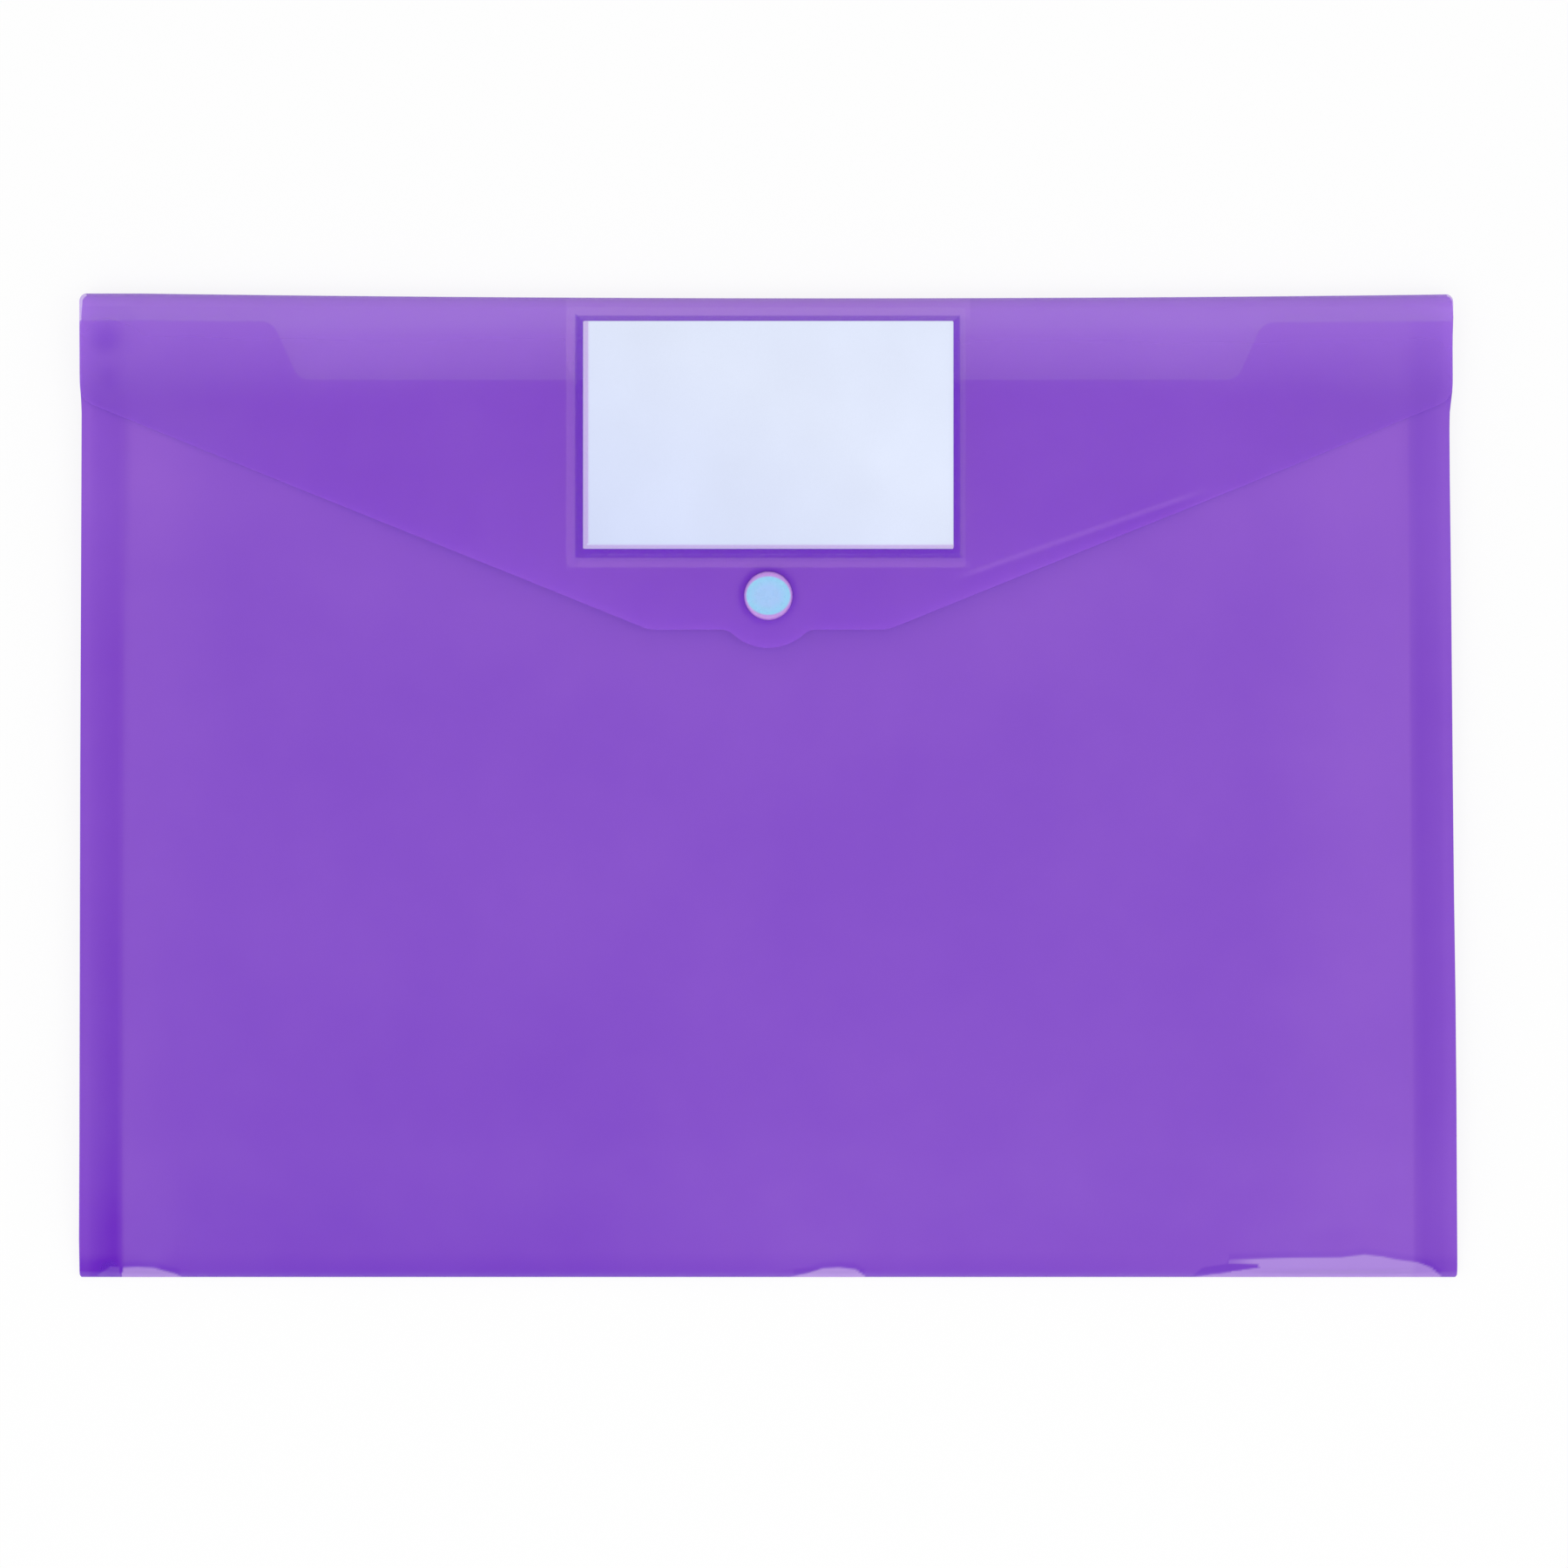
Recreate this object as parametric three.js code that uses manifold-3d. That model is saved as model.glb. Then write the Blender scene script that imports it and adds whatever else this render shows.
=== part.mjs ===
// Document envelope in translucent plastic film: a front and a back panel joined by a bottom fold
// and by a pleated gusset down each side, closed by a flap that turns over the mouth and snaps shut.
// The flap carries a clear pocket with a label card. The envelope lies on its back panel, and its
// front rises from the bottom fold to the depth that it keeps as far as the mouth.
//
// Millimetres. +X is to the right across the front, +Y runs from the bottom fold to the flap's fold,
// +Z is up out of the front. The origin is in the middle of the back panel's resting face.

import * as THREE from "three";
import { mergeVertices } from "three/addons/utils/BufferGeometryUtils.js";
import Module from "manifold-3d";

const wasm = await Module();
wasm.setup();

// Driving dimensions

const WIDTH = 330;
const HEIGHT = 236;
const FILM = 0.2;
const DEPTH = 6; // room between the panels' inner faces at rest
const BOTTOM_FOLD_RADIUS = 0.8;
const FRONT_RISE_ANGLE = THREE.MathUtils.degToRad(15); // at the bottom fold
const CORNER_RADIUS = 1.5;
const CREASE_CLEARANCE = 0.1; // between two sheets that turn about one crease
const TOUCH_CLEARANCE = 0.1; // between a sheet and what lies on it

const GUSSET_REACH = 10.3; // from the side edge in to the pleat's crease
const GUSSET_WELD = 1.8;
const GUSSET_BEND_RADIUS = 0.2;

const FRONT_DROP = 6.5; // from the flap's fold down to the front panel's top edge
const NOTCH_DEPTH = 15;
const NOTCH_FLOOR_WIDTH = 224;
const NOTCH_MOUTH_WIDTH = 236;
const NOTCH_RADIUS = 4;

const FLAP_SLOPE = THREE.MathUtils.degToRad(22);
const FLAP_END_WIDTH = 57;
const FLAP_END_RADIUS = 8;
const FLAP_SHOULDER_RADIUS = 4;
const TAB_RADIUS = 12.5; // round the snap
const TAB_REACH = 4.4; // past the flap's straight end
const TAB_SLOPE = THREE.MathUtils.degToRad(40);
const TAB_FILLET_RADIUS = 4;

const CARD_WIDTH = 88.5;
const CARD_HEIGHT = 54.5;
const CARD_THICKNESS = 0.3;
const CARD_CORNER_RADIUS = 0.4;

const POCKET_FILM = 0.15;
const POCKET_WELD = 1.6;
const POCKET_END_ROOM = 1.5; // beside the card, at the closed end
const POCKET_LIP = 2.9; // from the card to the pocket's open end
const POCKET_ROOM_ABOVE = 2.9;
const POCKET_ROOM_BELOW = 2.4;
const POCKET_TO_FOLD = 2.6;
const POCKET_TO_CAP = 1.4;

const CAP_RADIUS = 5.8;
const CAP_HEIGHT = 1.2;
const CAP_FACE_RADIUS = 5.15;
const CAP_EDGE_HEIGHT = 0.45;
const CAP_CROWN_HEIGHT = 0.18; // of the cap's upper bevel

const POST_RADIUS = 1.2;
const POST_CLEARANCE = 0.1;
const RIVET_RADIUS = 1.8;
const RIVET_HEIGHT = 0.45;
const RIVET_BEVEL = 0.35;

const SOCKET_RADIUS = 5.1;
const SOCKET_HEIGHT = 2.6;
const SOCKET_WEB = 0.6;
const SOCKET_LIP_HEIGHT = 0.6;
const SOCKET_LIP_UNDERCUT = 0.3;
const SOCKET_EDGE_RADIUS = 0.4;

const STUD_FLANGE_HEIGHT = 0.8;
const STUD_KNOB_RADIUS = 2.85;
const STUD_KNOB_HEIGHT = 1.5;
const STUD_BULGE_HEIGHT = 0.9; // of the knob's widest place over its flange
const STUD_NECK_DEPTH = 0.25;
const STUD_WEB = 0.6;
const STUD_WALL = 0.75;
const SNAP_CLEARANCE = 0.15;

const TURNED_SEGMENTS = 64;
const ARC_SEGMENTS = 8;

// Places worked out from the driving dimensions

const halfWidth = WIDTH / 2;
const foldY = HEIGHT / 2;
const creaseGap = FILM + CREASE_CLEARANCE;

const backTop = FILM;
const frontUnder = backTop + DEPTH;
const frontTop = frontUnder + FILM;
const frontTopY = foldY - FRONT_DROP;
const bottomFoldY = -foldY + BOTTOM_FOLD_RADIUS;
const frontStart = new THREE.Vector2(bottomFoldY + creaseGap, 2 * BOTTOM_FOLD_RADIUS - FILM);
const halfRise = (frontUnder - frontStart.y) / Math.tan(FRONT_RISE_ANGLE);

const flapUnder = frontTop + STUD_FLANGE_HEIGHT + TOUCH_CLEARANCE + SOCKET_HEIGHT;
const flapTop = flapUnder + FILM;

const pocketWidth = POCKET_WELD + POCKET_END_ROOM + CARD_WIDTH + POCKET_LIP;
const pocketHeight = 2 * POCKET_WELD + POCKET_ROOM_ABOVE + CARD_HEIGHT + POCKET_ROOM_BELOW;
const pocketTopY = foldY - POCKET_TO_FOLD;
const pocketBottomY = pocketTopY - pocketHeight;
const pocketLeft = -CARD_WIDTH / 2 - POCKET_END_ROOM - POCKET_WELD;
const pocketRight = pocketLeft + pocketWidth;
const cardBottomY = pocketBottomY + POCKET_WELD + POCKET_ROOM_BELOW;

const snapY = pocketBottomY - POCKET_TO_CAP - CAP_RADIUS;
const flapEndY = snapY - TAB_RADIUS + TAB_REACH;
const flapSideY = flapEndY + (halfWidth - FLAP_END_WIDTH / 2) * Math.tan(FLAP_SLOPE);
const tabCornerY = snapY - TAB_RADIUS / Math.cos(TAB_SLOPE);
const tabHalfWidth = (flapEndY - tabCornerY) / Math.tan(TAB_SLOPE);

const postHoleRadius = POST_RADIUS + POST_CLEARANCE;
const knobWellRadius = STUD_KNOB_RADIUS - STUD_WALL;

// Materials

const purpleFilm = new THREE.MeshStandardMaterial({
  color: 0x8957cc,
  roughness: 0.35,
  metalness: 0,
  transparent: true,
  opacity: 0.85,
});
const clearFilm = new THREE.MeshStandardMaterial({
  color: 0xf2f4ff,
  roughness: 0.15,
  metalness: 0,
  transparent: true,
  opacity: 0.25,
});
const whiteCard = new THREE.MeshStandardMaterial({ color: 0xdfeafe, roughness: 0.8, metalness: 0 });
const snapPlastic = new THREE.MeshStandardMaterial({ color: 0xaacafd, roughness: 0.3, metalness: 0 });

// Shape and mesh helpers

// A closed outline through corners [x, y, radius], with a true arc at each corner that has a radius.
function outline(corners) {
  const shape = new THREE.Shape();
  corners.forEach(([x, y, radius], i) => {
    const corner = new THREE.Vector2(x, y);
    if (!radius) {
      i === 0 ? shape.moveTo(x, y) : shape.lineTo(x, y);
      return;
    }
    const [beforeX, beforeY] = corners.at(i - 1);
    const [afterX, afterY] = corners[(i + 1) % corners.length];
    const back = new THREE.Vector2(beforeX, beforeY).sub(corner).normalize();
    const on = new THREE.Vector2(afterX, afterY).sub(corner).normalize();
    const halfAngle = Math.acos(THREE.MathUtils.clamp(back.dot(on), -1, 1)) / 2;
    const start = corner.clone().addScaledVector(back, radius / Math.tan(halfAngle));
    const end = corner.clone().addScaledVector(on, radius / Math.tan(halfAngle));
    const inwards = back.clone().add(on).normalize();
    const centre = corner.clone().addScaledVector(inwards, radius / Math.sin(halfAngle));
    const clockwise = back.cross(on) > 0;
    i === 0 ? shape.moveTo(start.x, start.y) : shape.lineTo(start.x, start.y);
    shape.absarc(
      centre.x,
      centre.y,
      radius,
      Math.atan2(start.y - centre.y, start.x - centre.x),
      Math.atan2(end.y - centre.y, end.x - centre.x),
      clockwise,
    );
  });
  shape.closePath();
  return shape;
}

function rectangle(left, bottom, right, top, radius = 0) {
  return outline([
    [left, bottom, radius],
    [right, bottom, radius],
    [right, top, radius],
    [left, top, radius],
  ]);
}

// The shape of something cut from one width of film, from its side view: y across it and z up it.
function acrossWidth(sideView) {
  const geometry = new THREE.ExtrudeGeometry(sideView, {
    depth: WIDTH,
    bevelEnabled: false,
    curveSegments: ARC_SEGMENTS,
  });
  const axes = new THREE.Matrix4().makeBasis(
    new THREE.Vector3(0, 1, 0),
    new THREE.Vector3(0, 0, 1),
    new THREE.Vector3(1, 0, 0),
  );
  return geometry.applyMatrix4(axes).translate(-halfWidth, 0, 0);
}

function addPostHole(shape) {
  const hole = new THREE.Path();
  hole.absarc(0, snapY, postHoleRadius, 0, 2 * Math.PI, true);
  shape.holes.push(hole);
}

// A flat sheet between two heights.
function sheet(shape, bottom, top) {
  const geometry = new THREE.ExtrudeGeometry(shape, {
    depth: top - bottom,
    bevelEnabled: false,
    curveSegments: ARC_SEGMENTS,
  });
  return geometry.translate(0, 0, bottom);
}

// The outline of a film that follows a line of points and lies on the line's left.
function filmAlong(line, thickness) {
  const offset = line.map((point, i) => {
    const before = line[Math.max(i - 1, 0)];
    const after = line[Math.min(i + 1, line.length - 1)];
    const into = (i === 0 ? after.clone().sub(point) : point.clone().sub(before)).normalize();
    const out = (i === line.length - 1 ? into.clone() : after.clone().sub(point)).normalize();
    const normal = new THREE.Vector2(-into.y - out.y, into.x + out.x).normalize();
    const spread = thickness / normal.dot(new THREE.Vector2(-into.y, into.x));
    return point.clone().addScaledVector(normal, spread);
  });
  return new THREE.Shape([...line, ...offset.reverse()]);
}

// A closed body through like sections [x, z], each at its own y, with flat ends.
function loft(sections, ys) {
  const positions = sections.flatMap((section, k) => section.flatMap((point) => [point.x, ys[k], point.y]));
  const count = sections[0].length;
  const last = (sections.length - 1) * count;
  const index = [];
  for (let k = 0; k < last; k += count) {
    for (let i = 0; i < count; i += 1) {
      const next = (i + 1) % count;
      index.push(k + i, k + count + next, k + next);
      index.push(k + i, k + count + i, k + count + next);
    }
  }
  THREE.ShapeUtils.triangulateShape(sections[0], []).forEach(([a, b, c]) => index.push(a, b, c));
  THREE.ShapeUtils.triangulateShape(sections.at(-1), []).forEach(([a, b, c]) => {
    index.push(last + c, last + b, last + a);
  });
  const geometry = new THREE.BufferGeometry();
  geometry.setAttribute("position", new THREE.Float32BufferAttribute(positions, 3));
  geometry.setIndex(index);
  geometry.computeVertexNormals();
  return geometry;
}

// A turned piece: its profile is [radius, height] pairs from its foot round to its top.
function turned(profile) {
  const points = profile.map(([radius, height]) => new THREE.Vector2(radius, height));
  return new THREE.LatheGeometry(points, TURNED_SEGMENTS).rotateX(Math.PI / 2);
}

function solid(geometry) {
  const bare = geometry.clone();
  bare.deleteAttribute("normal");
  bare.deleteAttribute("uv");
  const merged = mergeVertices(bare);
  return new wasm.Manifold(
    new wasm.Mesh({
      numProp: 3,
      vertProperties: merged.attributes.position.array,
      triVerts: new Uint32Array(merged.index.array),
    }),
  );
}

function geometryOf(manifold) {
  const mesh = manifold.getMesh();
  const geometry = new THREE.BufferGeometry();
  geometry.setAttribute("position", new THREE.BufferAttribute(mesh.vertProperties, 3));
  geometry.setIndex(new THREE.BufferAttribute(mesh.triVerts, 1));
  geometry.computeVertexNormals();
  return geometry;
}

function piece(name, geometry, material) {
  const mesh = new THREE.Mesh(geometry, material);
  mesh.name = name;
  return mesh;
}

// Film panels

function backPanel() {
  const shape = outline([
    [-halfWidth, bottomFoldY, 0],
    [halfWidth, bottomFoldY, 0],
    [halfWidth, foldY - creaseGap, CORNER_RADIUS],
    [-halfWidth, foldY - creaseGap, CORNER_RADIUS],
  ]);
  return piece("back_panel", sheet(shape, 0, backTop), purpleFilm);
}

// The tight turn of film that carries the back panel round into the front panel.
function bottomFold() {
  const shape = new THREE.Shape();
  const radius = BOTTOM_FOLD_RADIUS;
  shape.absarc(bottomFoldY, radius, radius, Math.PI / 2, (3 * Math.PI) / 2, false);
  shape.absarc(bottomFoldY, radius, radius - FILM, (3 * Math.PI) / 2, Math.PI / 2, true);
  shape.closePath();
  return piece("bottom_fold", acrossWidth(shape), purpleFilm);
}

// The front panel's underside in side view: it rises from the bottom fold and then runs level.
function frontUnderside() {
  const rise = new THREE.QuadraticBezierCurve(
    frontStart,
    new THREE.Vector2(frontStart.x + halfRise, frontUnder),
    new THREE.Vector2(frontStart.x + 2 * halfRise, frontUnder),
  );
  return [...rise.getPoints(ARC_SEGMENTS), new THREE.Vector2(frontTopY, frontUnder)];
}

// The front panel stops short of the mouth, and its top edge is cut down to reach the papers.
function frontPanel() {
  const sideView = filmAlong(frontUnderside(), FILM);
  const shape = outline([
    [-halfWidth, -foldY, 0],
    [halfWidth, -foldY, 0],
    [halfWidth, frontTopY, CORNER_RADIUS],
    [NOTCH_MOUTH_WIDTH / 2, frontTopY, NOTCH_RADIUS],
    [NOTCH_FLOOR_WIDTH / 2, frontTopY - NOTCH_DEPTH, NOTCH_RADIUS],
    [-NOTCH_FLOOR_WIDTH / 2, frontTopY - NOTCH_DEPTH, NOTCH_RADIUS],
    [-NOTCH_MOUTH_WIDTH / 2, frontTopY, NOTCH_RADIUS],
    [-halfWidth, frontTopY, CORNER_RADIUS],
  ]);
  addPostHole(shape);
  const panel = solid(acrossWidth(sideView)).intersect(solid(sheet(shape, 0, 2 * frontTop)));
  return piece("front_panel", geometryOf(panel), purpleFilm);
}

// A pleated side wall: welded along both long edges, with its crease pointing into the envelope,
// and as deep as the front panel stands over the back panel at each place along it.
function gusset(name, side) {
  const creaseX = -halfWidth + GUSSET_REACH;
  const section = (frontHeight) => {
    const low = backTop + TOUCH_CLEARANCE;
    const high = frontHeight - TOUCH_CLEARANCE;
    const bend = GUSSET_BEND_RADIUS;
    const inside = new THREE.Path();
    inside.moveTo(-halfWidth, high - FILM);
    inside.lineTo(-halfWidth + GUSSET_WELD, high - FILM);
    inside.absarc(creaseX - FILM - bend, (low + high) / 2, bend, Math.PI / 2, -Math.PI / 2, true);
    inside.lineTo(-halfWidth + GUSSET_WELD, low + FILM);
    inside.lineTo(-halfWidth, low + FILM);
    const points = filmAlong(inside.getPoints(ARC_SEGMENTS / 2), FILM).getPoints();
    points.forEach((point) => point.setX(-side * point.x));
    return THREE.ShapeUtils.isClockWise(points) ? points.reverse() : points;
  };
  const stations = frontUnderside();
  const sections = stations.map((station) => section(station.y));
  const ys = stations.map((station) => station.x);
  return piece(name, loft(sections, ys), purpleFilm);
}

// The strip between the flap's two creases, which spans the envelope's thickness at the mouth.
function spine() {
  const strip = new THREE.BoxGeometry(WIDTH, FILM, flapTop - 2 * creaseGap);
  strip.translate(0, foldY - FILM / 2, flapTop / 2);
  return piece("spine", strip, purpleFilm);
}

// The flap narrows to a straight end with a round tab in it for the snap.
function flap() {
  const shape = outline([
    [-halfWidth, foldY - creaseGap, 0],
    [-halfWidth, flapSideY, FLAP_SHOULDER_RADIUS],
    [-FLAP_END_WIDTH / 2, flapEndY, FLAP_END_RADIUS],
    [-tabHalfWidth, flapEndY, TAB_FILLET_RADIUS],
    [0, tabCornerY, TAB_RADIUS],
    [tabHalfWidth, flapEndY, TAB_FILLET_RADIUS],
    [FLAP_END_WIDTH / 2, flapEndY, FLAP_END_RADIUS],
    [halfWidth, flapSideY, FLAP_SHOULDER_RADIUS],
    [halfWidth, foldY - creaseGap, 0],
  ]);
  addPostHole(shape);
  return piece("flap", sheet(shape, flapUnder, flapTop), purpleFilm);
}

// Label pocket and card

// Clear film welded to the flap on three sides, raised over the card and open at its right end.
function labelPocket() {
  const room = CARD_THICKNESS + 2 * TOUCH_CLEARANCE;
  const floor = flapTop;
  const welded = rectangle(pocketLeft, pocketBottomY, pocketRight, pocketTopY, CORNER_RADIUS);
  const roomLeft = pocketLeft + POCKET_WELD;
  const roomBottom = pocketBottomY + POCKET_WELD;
  const roomTop = pocketTopY - POCKET_WELD;
  const raised = rectangle(
    roomLeft - POCKET_FILM,
    roomBottom - POCKET_FILM,
    pocketRight,
    roomTop + POCKET_FILM,
  );
  const cavity = rectangle(roomLeft, roomBottom, pocketRight + POCKET_LIP, roomTop);
  const pocket = solid(sheet(welded, floor, floor + POCKET_FILM))
    .add(solid(sheet(raised, floor, floor + room + POCKET_FILM)))
    .subtract(solid(sheet(cavity, floor - room, floor + room)));
  return piece("label_pocket", geometryOf(pocket), clearFilm);
}

function labelCard() {
  const shape = rectangle(
    -CARD_WIDTH / 2,
    cardBottomY,
    CARD_WIDTH / 2,
    cardBottomY + CARD_HEIGHT,
    CARD_CORNER_RADIUS,
  );
  const bottom = flapTop + TOUCH_CLEARANCE;
  return piece("label_card", sheet(shape, bottom, bottom + CARD_THICKNESS), whiteCard);
}

// Snap fastener

// A cap whose post goes through the film and the web of the ring behind it, where it is riveted over.
function riveted(name, web, faceZ, facing) {
  const neck = FILM + web;
  const geometry = turned([
    [0, -neck - RIVET_HEIGHT],
    [RIVET_RADIUS - RIVET_BEVEL, -neck - RIVET_HEIGHT],
    [RIVET_RADIUS, -neck - RIVET_HEIGHT / 2],
    [RIVET_RADIUS, -neck],
    [POST_RADIUS, -neck],
    [POST_RADIUS, 0],
    [CAP_RADIUS - CAP_EDGE_HEIGHT / 2, 0],
    [CAP_RADIUS, CAP_EDGE_HEIGHT / 2],
    [CAP_RADIUS, CAP_EDGE_HEIGHT],
    [(CAP_RADIUS + CAP_FACE_RADIUS) / 2, CAP_HEIGHT - CAP_CROWN_HEIGHT],
    [CAP_FACE_RADIUS, CAP_HEIGHT],
    [0, CAP_HEIGHT],
  ]);
  if (facing < 0) geometry.rotateX(Math.PI);
  const mesh = piece(name, geometry, snapPlastic);
  mesh.position.set(0, snapY, faceZ);
  return mesh;
}

// The ring under the flap, open downwards, with a lip that grips the stud.
function snapSocket() {
  const lipRadius = STUD_KNOB_RADIUS + SNAP_CLEARANCE;
  const cavityRadius = lipRadius + SOCKET_LIP_UNDERCUT;
  const geometry = turned([
    [postHoleRadius, -SOCKET_WEB],
    [cavityRadius, -SOCKET_WEB],
    [cavityRadius, SOCKET_LIP_HEIGHT - SOCKET_HEIGHT],
    [lipRadius, SOCKET_LIP_HEIGHT / 2 - SOCKET_HEIGHT],
    [lipRadius, -SOCKET_HEIGHT],
    [SOCKET_RADIUS - SOCKET_EDGE_RADIUS, -SOCKET_HEIGHT],
    [SOCKET_RADIUS, SOCKET_EDGE_RADIUS - SOCKET_HEIGHT],
    [SOCKET_RADIUS, 0],
    [postHoleRadius, 0],
    [postHoleRadius, -SOCKET_WEB],
  ]);
  const mesh = piece("snap_socket", geometry, snapPlastic);
  mesh.position.set(0, snapY, flapUnder);
  return mesh;
}

// The hollow knob on the front panel that the socket closes over.
function snapStud() {
  const knobTop = STUD_FLANGE_HEIGHT + STUD_KNOB_HEIGHT;
  const bulge = STUD_FLANGE_HEIGHT + STUD_BULGE_HEIGHT;
  const geometry = turned([
    [postHoleRadius, 0],
    [SOCKET_RADIUS, 0],
    [SOCKET_RADIUS, STUD_FLANGE_HEIGHT - SOCKET_EDGE_RADIUS],
    [SOCKET_RADIUS - SOCKET_EDGE_RADIUS, STUD_FLANGE_HEIGHT],
    [STUD_KNOB_RADIUS - STUD_NECK_DEPTH, STUD_FLANGE_HEIGHT],
    [STUD_KNOB_RADIUS, bulge],
    [STUD_KNOB_RADIUS - STUD_NECK_DEPTH, knobTop],
    [knobWellRadius, knobTop],
    [knobWellRadius, STUD_WEB],
    [postHoleRadius, STUD_WEB],
    [postHoleRadius, 0],
  ]);
  const mesh = piece("snap_stud", geometry, snapPlastic);
  mesh.position.set(0, snapY, frontTop);
  return mesh;
}

const envelope = new THREE.Group();
envelope.add(
  backPanel(),
  bottomFold(),
  frontPanel(),
  gusset("left_gusset", -1),
  gusset("right_gusset", 1),
  spine(),
  flap(),
  labelPocket(),
  labelCard(),
  riveted("snap_cap", SOCKET_WEB, flapTop, 1),
  snapSocket(),
  snapStud(),
  riveted("snap_stud_cap", STUD_WEB, frontUnder, -1),
);

export default envelope;
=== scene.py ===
import math

import bpy
import numpy as np
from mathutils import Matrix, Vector, noise


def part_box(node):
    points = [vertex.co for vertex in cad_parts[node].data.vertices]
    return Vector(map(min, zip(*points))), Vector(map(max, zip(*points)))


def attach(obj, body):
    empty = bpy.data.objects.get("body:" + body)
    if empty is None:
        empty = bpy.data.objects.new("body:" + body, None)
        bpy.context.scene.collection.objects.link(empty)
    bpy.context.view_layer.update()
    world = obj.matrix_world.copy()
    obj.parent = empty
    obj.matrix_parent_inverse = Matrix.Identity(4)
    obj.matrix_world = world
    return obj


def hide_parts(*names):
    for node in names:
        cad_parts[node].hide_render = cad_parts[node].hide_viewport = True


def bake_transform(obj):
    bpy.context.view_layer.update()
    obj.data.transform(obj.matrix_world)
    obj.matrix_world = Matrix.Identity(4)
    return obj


# Looks of a document envelope in translucent purple film, in metres, in the CAD model's frame:
# +X to the right across the front, +Y from the bottom fold to the flap's fold, +Z up out of the front.

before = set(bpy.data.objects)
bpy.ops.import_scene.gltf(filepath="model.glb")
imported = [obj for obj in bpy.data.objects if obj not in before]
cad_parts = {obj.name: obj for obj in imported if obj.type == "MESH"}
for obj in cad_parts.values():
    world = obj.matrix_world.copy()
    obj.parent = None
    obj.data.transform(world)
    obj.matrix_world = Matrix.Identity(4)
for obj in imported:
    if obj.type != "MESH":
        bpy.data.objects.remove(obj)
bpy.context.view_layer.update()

MM = 0.001

# Places taken from the CAD model

back_low, back_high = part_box("back_panel")
_, front_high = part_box("front_panel")
_, flap_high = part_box("flap")
spine_low, spine_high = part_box("spine")
fold_low, fold_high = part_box("bottom_fold")
gusset_low, gusset_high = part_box("right_gusset")
pocket_low, pocket_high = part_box("label_pocket")
card_low, card_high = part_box("label_card")
cap_low, cap_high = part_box("snap_cap")

FILM = back_high.z
half_width = back_high.x
spine_y = (spine_low.y + spine_high.y) / 2
front_z = front_high.z - FILM / 2
flap_z = flap_high.z - FILM / 2
snap_y = (cap_low.y + cap_high.y) / 2

# Sizes of the film's shapes

NOTCH_DEPTH = 14.3 * MM
NOTCH_FLOOR_WIDTH = 225 * MM
NOTCH_MOUTH_WIDTH = 237.5 * MM
NOTCH_RADIUS = 4 * MM
CORNER_RADIUS = 1.5 * MM
UPPER_CORNER_RADIUS = 2.2 * MM
LOWER_CORNER_RADIUS = 1.0 * MM
RISE_ANGLE = math.radians(15)
RISE_LENGTH = 36 * MM

FLAP_SLOPE = math.radians(22)
FLAP_END_WIDTH = 57 * MM
FLAP_END_RADIUS = 8 * MM
FLAP_SHOULDER_RADIUS = 4 * MM
TAB_RADIUS = 12.5 * MM
TAB_REACH = 4.4 * MM
TAB_SLOPE = math.radians(40)
TAB_FILLET_RADIUS = 4 * MM

LOWER_BEND_RADIUS = 1 * MM
UPPER_BEND_RADIUS = 3.5 * MM
FLAP_DROOP = 2.9 * MM
DROOP_X = (50 * MM, 125 * MM)
DROOP_Y = (114 * MM, 92 * MM)
SIDE_LEAN = 0.079
END_TRIM = 0.2 * MM
FOLD_DIP = 1.15 * MM
FOLD_DIP_X = 15 * MM
# Over this band the flap turns paler towards its fold: painted light
FLAP_PALE_BAND = (95.5 * MM, 116.5 * MM)

# Soft waves of the film: the height of each, then its size and its seed, and where it starts to show
FRONT_WAVE = 0.35 * MM
FRONT_WAVE_FORM = (60 * MM, 3.1)
FRONT_CALM_INSET = 20 * MM
FRONT_CALM_Y = (-105 * MM, -70 * MM)
FRONT_CALM_SNAP = (8 * MM, 40 * MM)
FLAP_WAVE = 0.2 * MM
FLAP_WAVE_FORM = (45 * MM, 7.7)
FLAP_CALM_X = (35 * MM, 70 * MM)
FLAP_CALM_REACH = 15 * MM

GUSSET_WELD = 1.8 * MM
GUSSET_CREASE_RADIUS = 0.4 * MM
GUSSET_GAP = 0.03 * MM

POCKET_FILM = 0.12 * MM
POCKET_WELD = 2.2 * MM
POCKET_LEFT_REACH = 1.0 * MM
POCKET_LOWER_REACH = 0.4 * MM
POCKET_FLOOR_GAP = 0.01 * MM
POCKET_ROOF_GAP = 0.03 * MM
POCKET_RISE = 0.8 * MM
POCKET_BULGE = 0.072 * MM
POCKET_BULGE_FORM = (22 * MM, 1.3)
POCKET_GAPE = 0.25 * MM
POCKET_GAPE_REACH = 12 * MM

# In millimetres: how far the card's painted shadow reaches from the card's left, lower, right and upper edge
# and how dark it is, how much of that reach is fully dark, and how broad the pinkish strips are
CARD_SHADOW_SIDES = [(2.3, 1.0), (2.6, 1.0), (1.8, 1.0), (1.5, 0.5)]
CARD_SHADOW_FULL = 1.1
LIP_LEFT = 1.3
LIP_BELOW = 1.0

# How finely the meshes are divided

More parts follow.
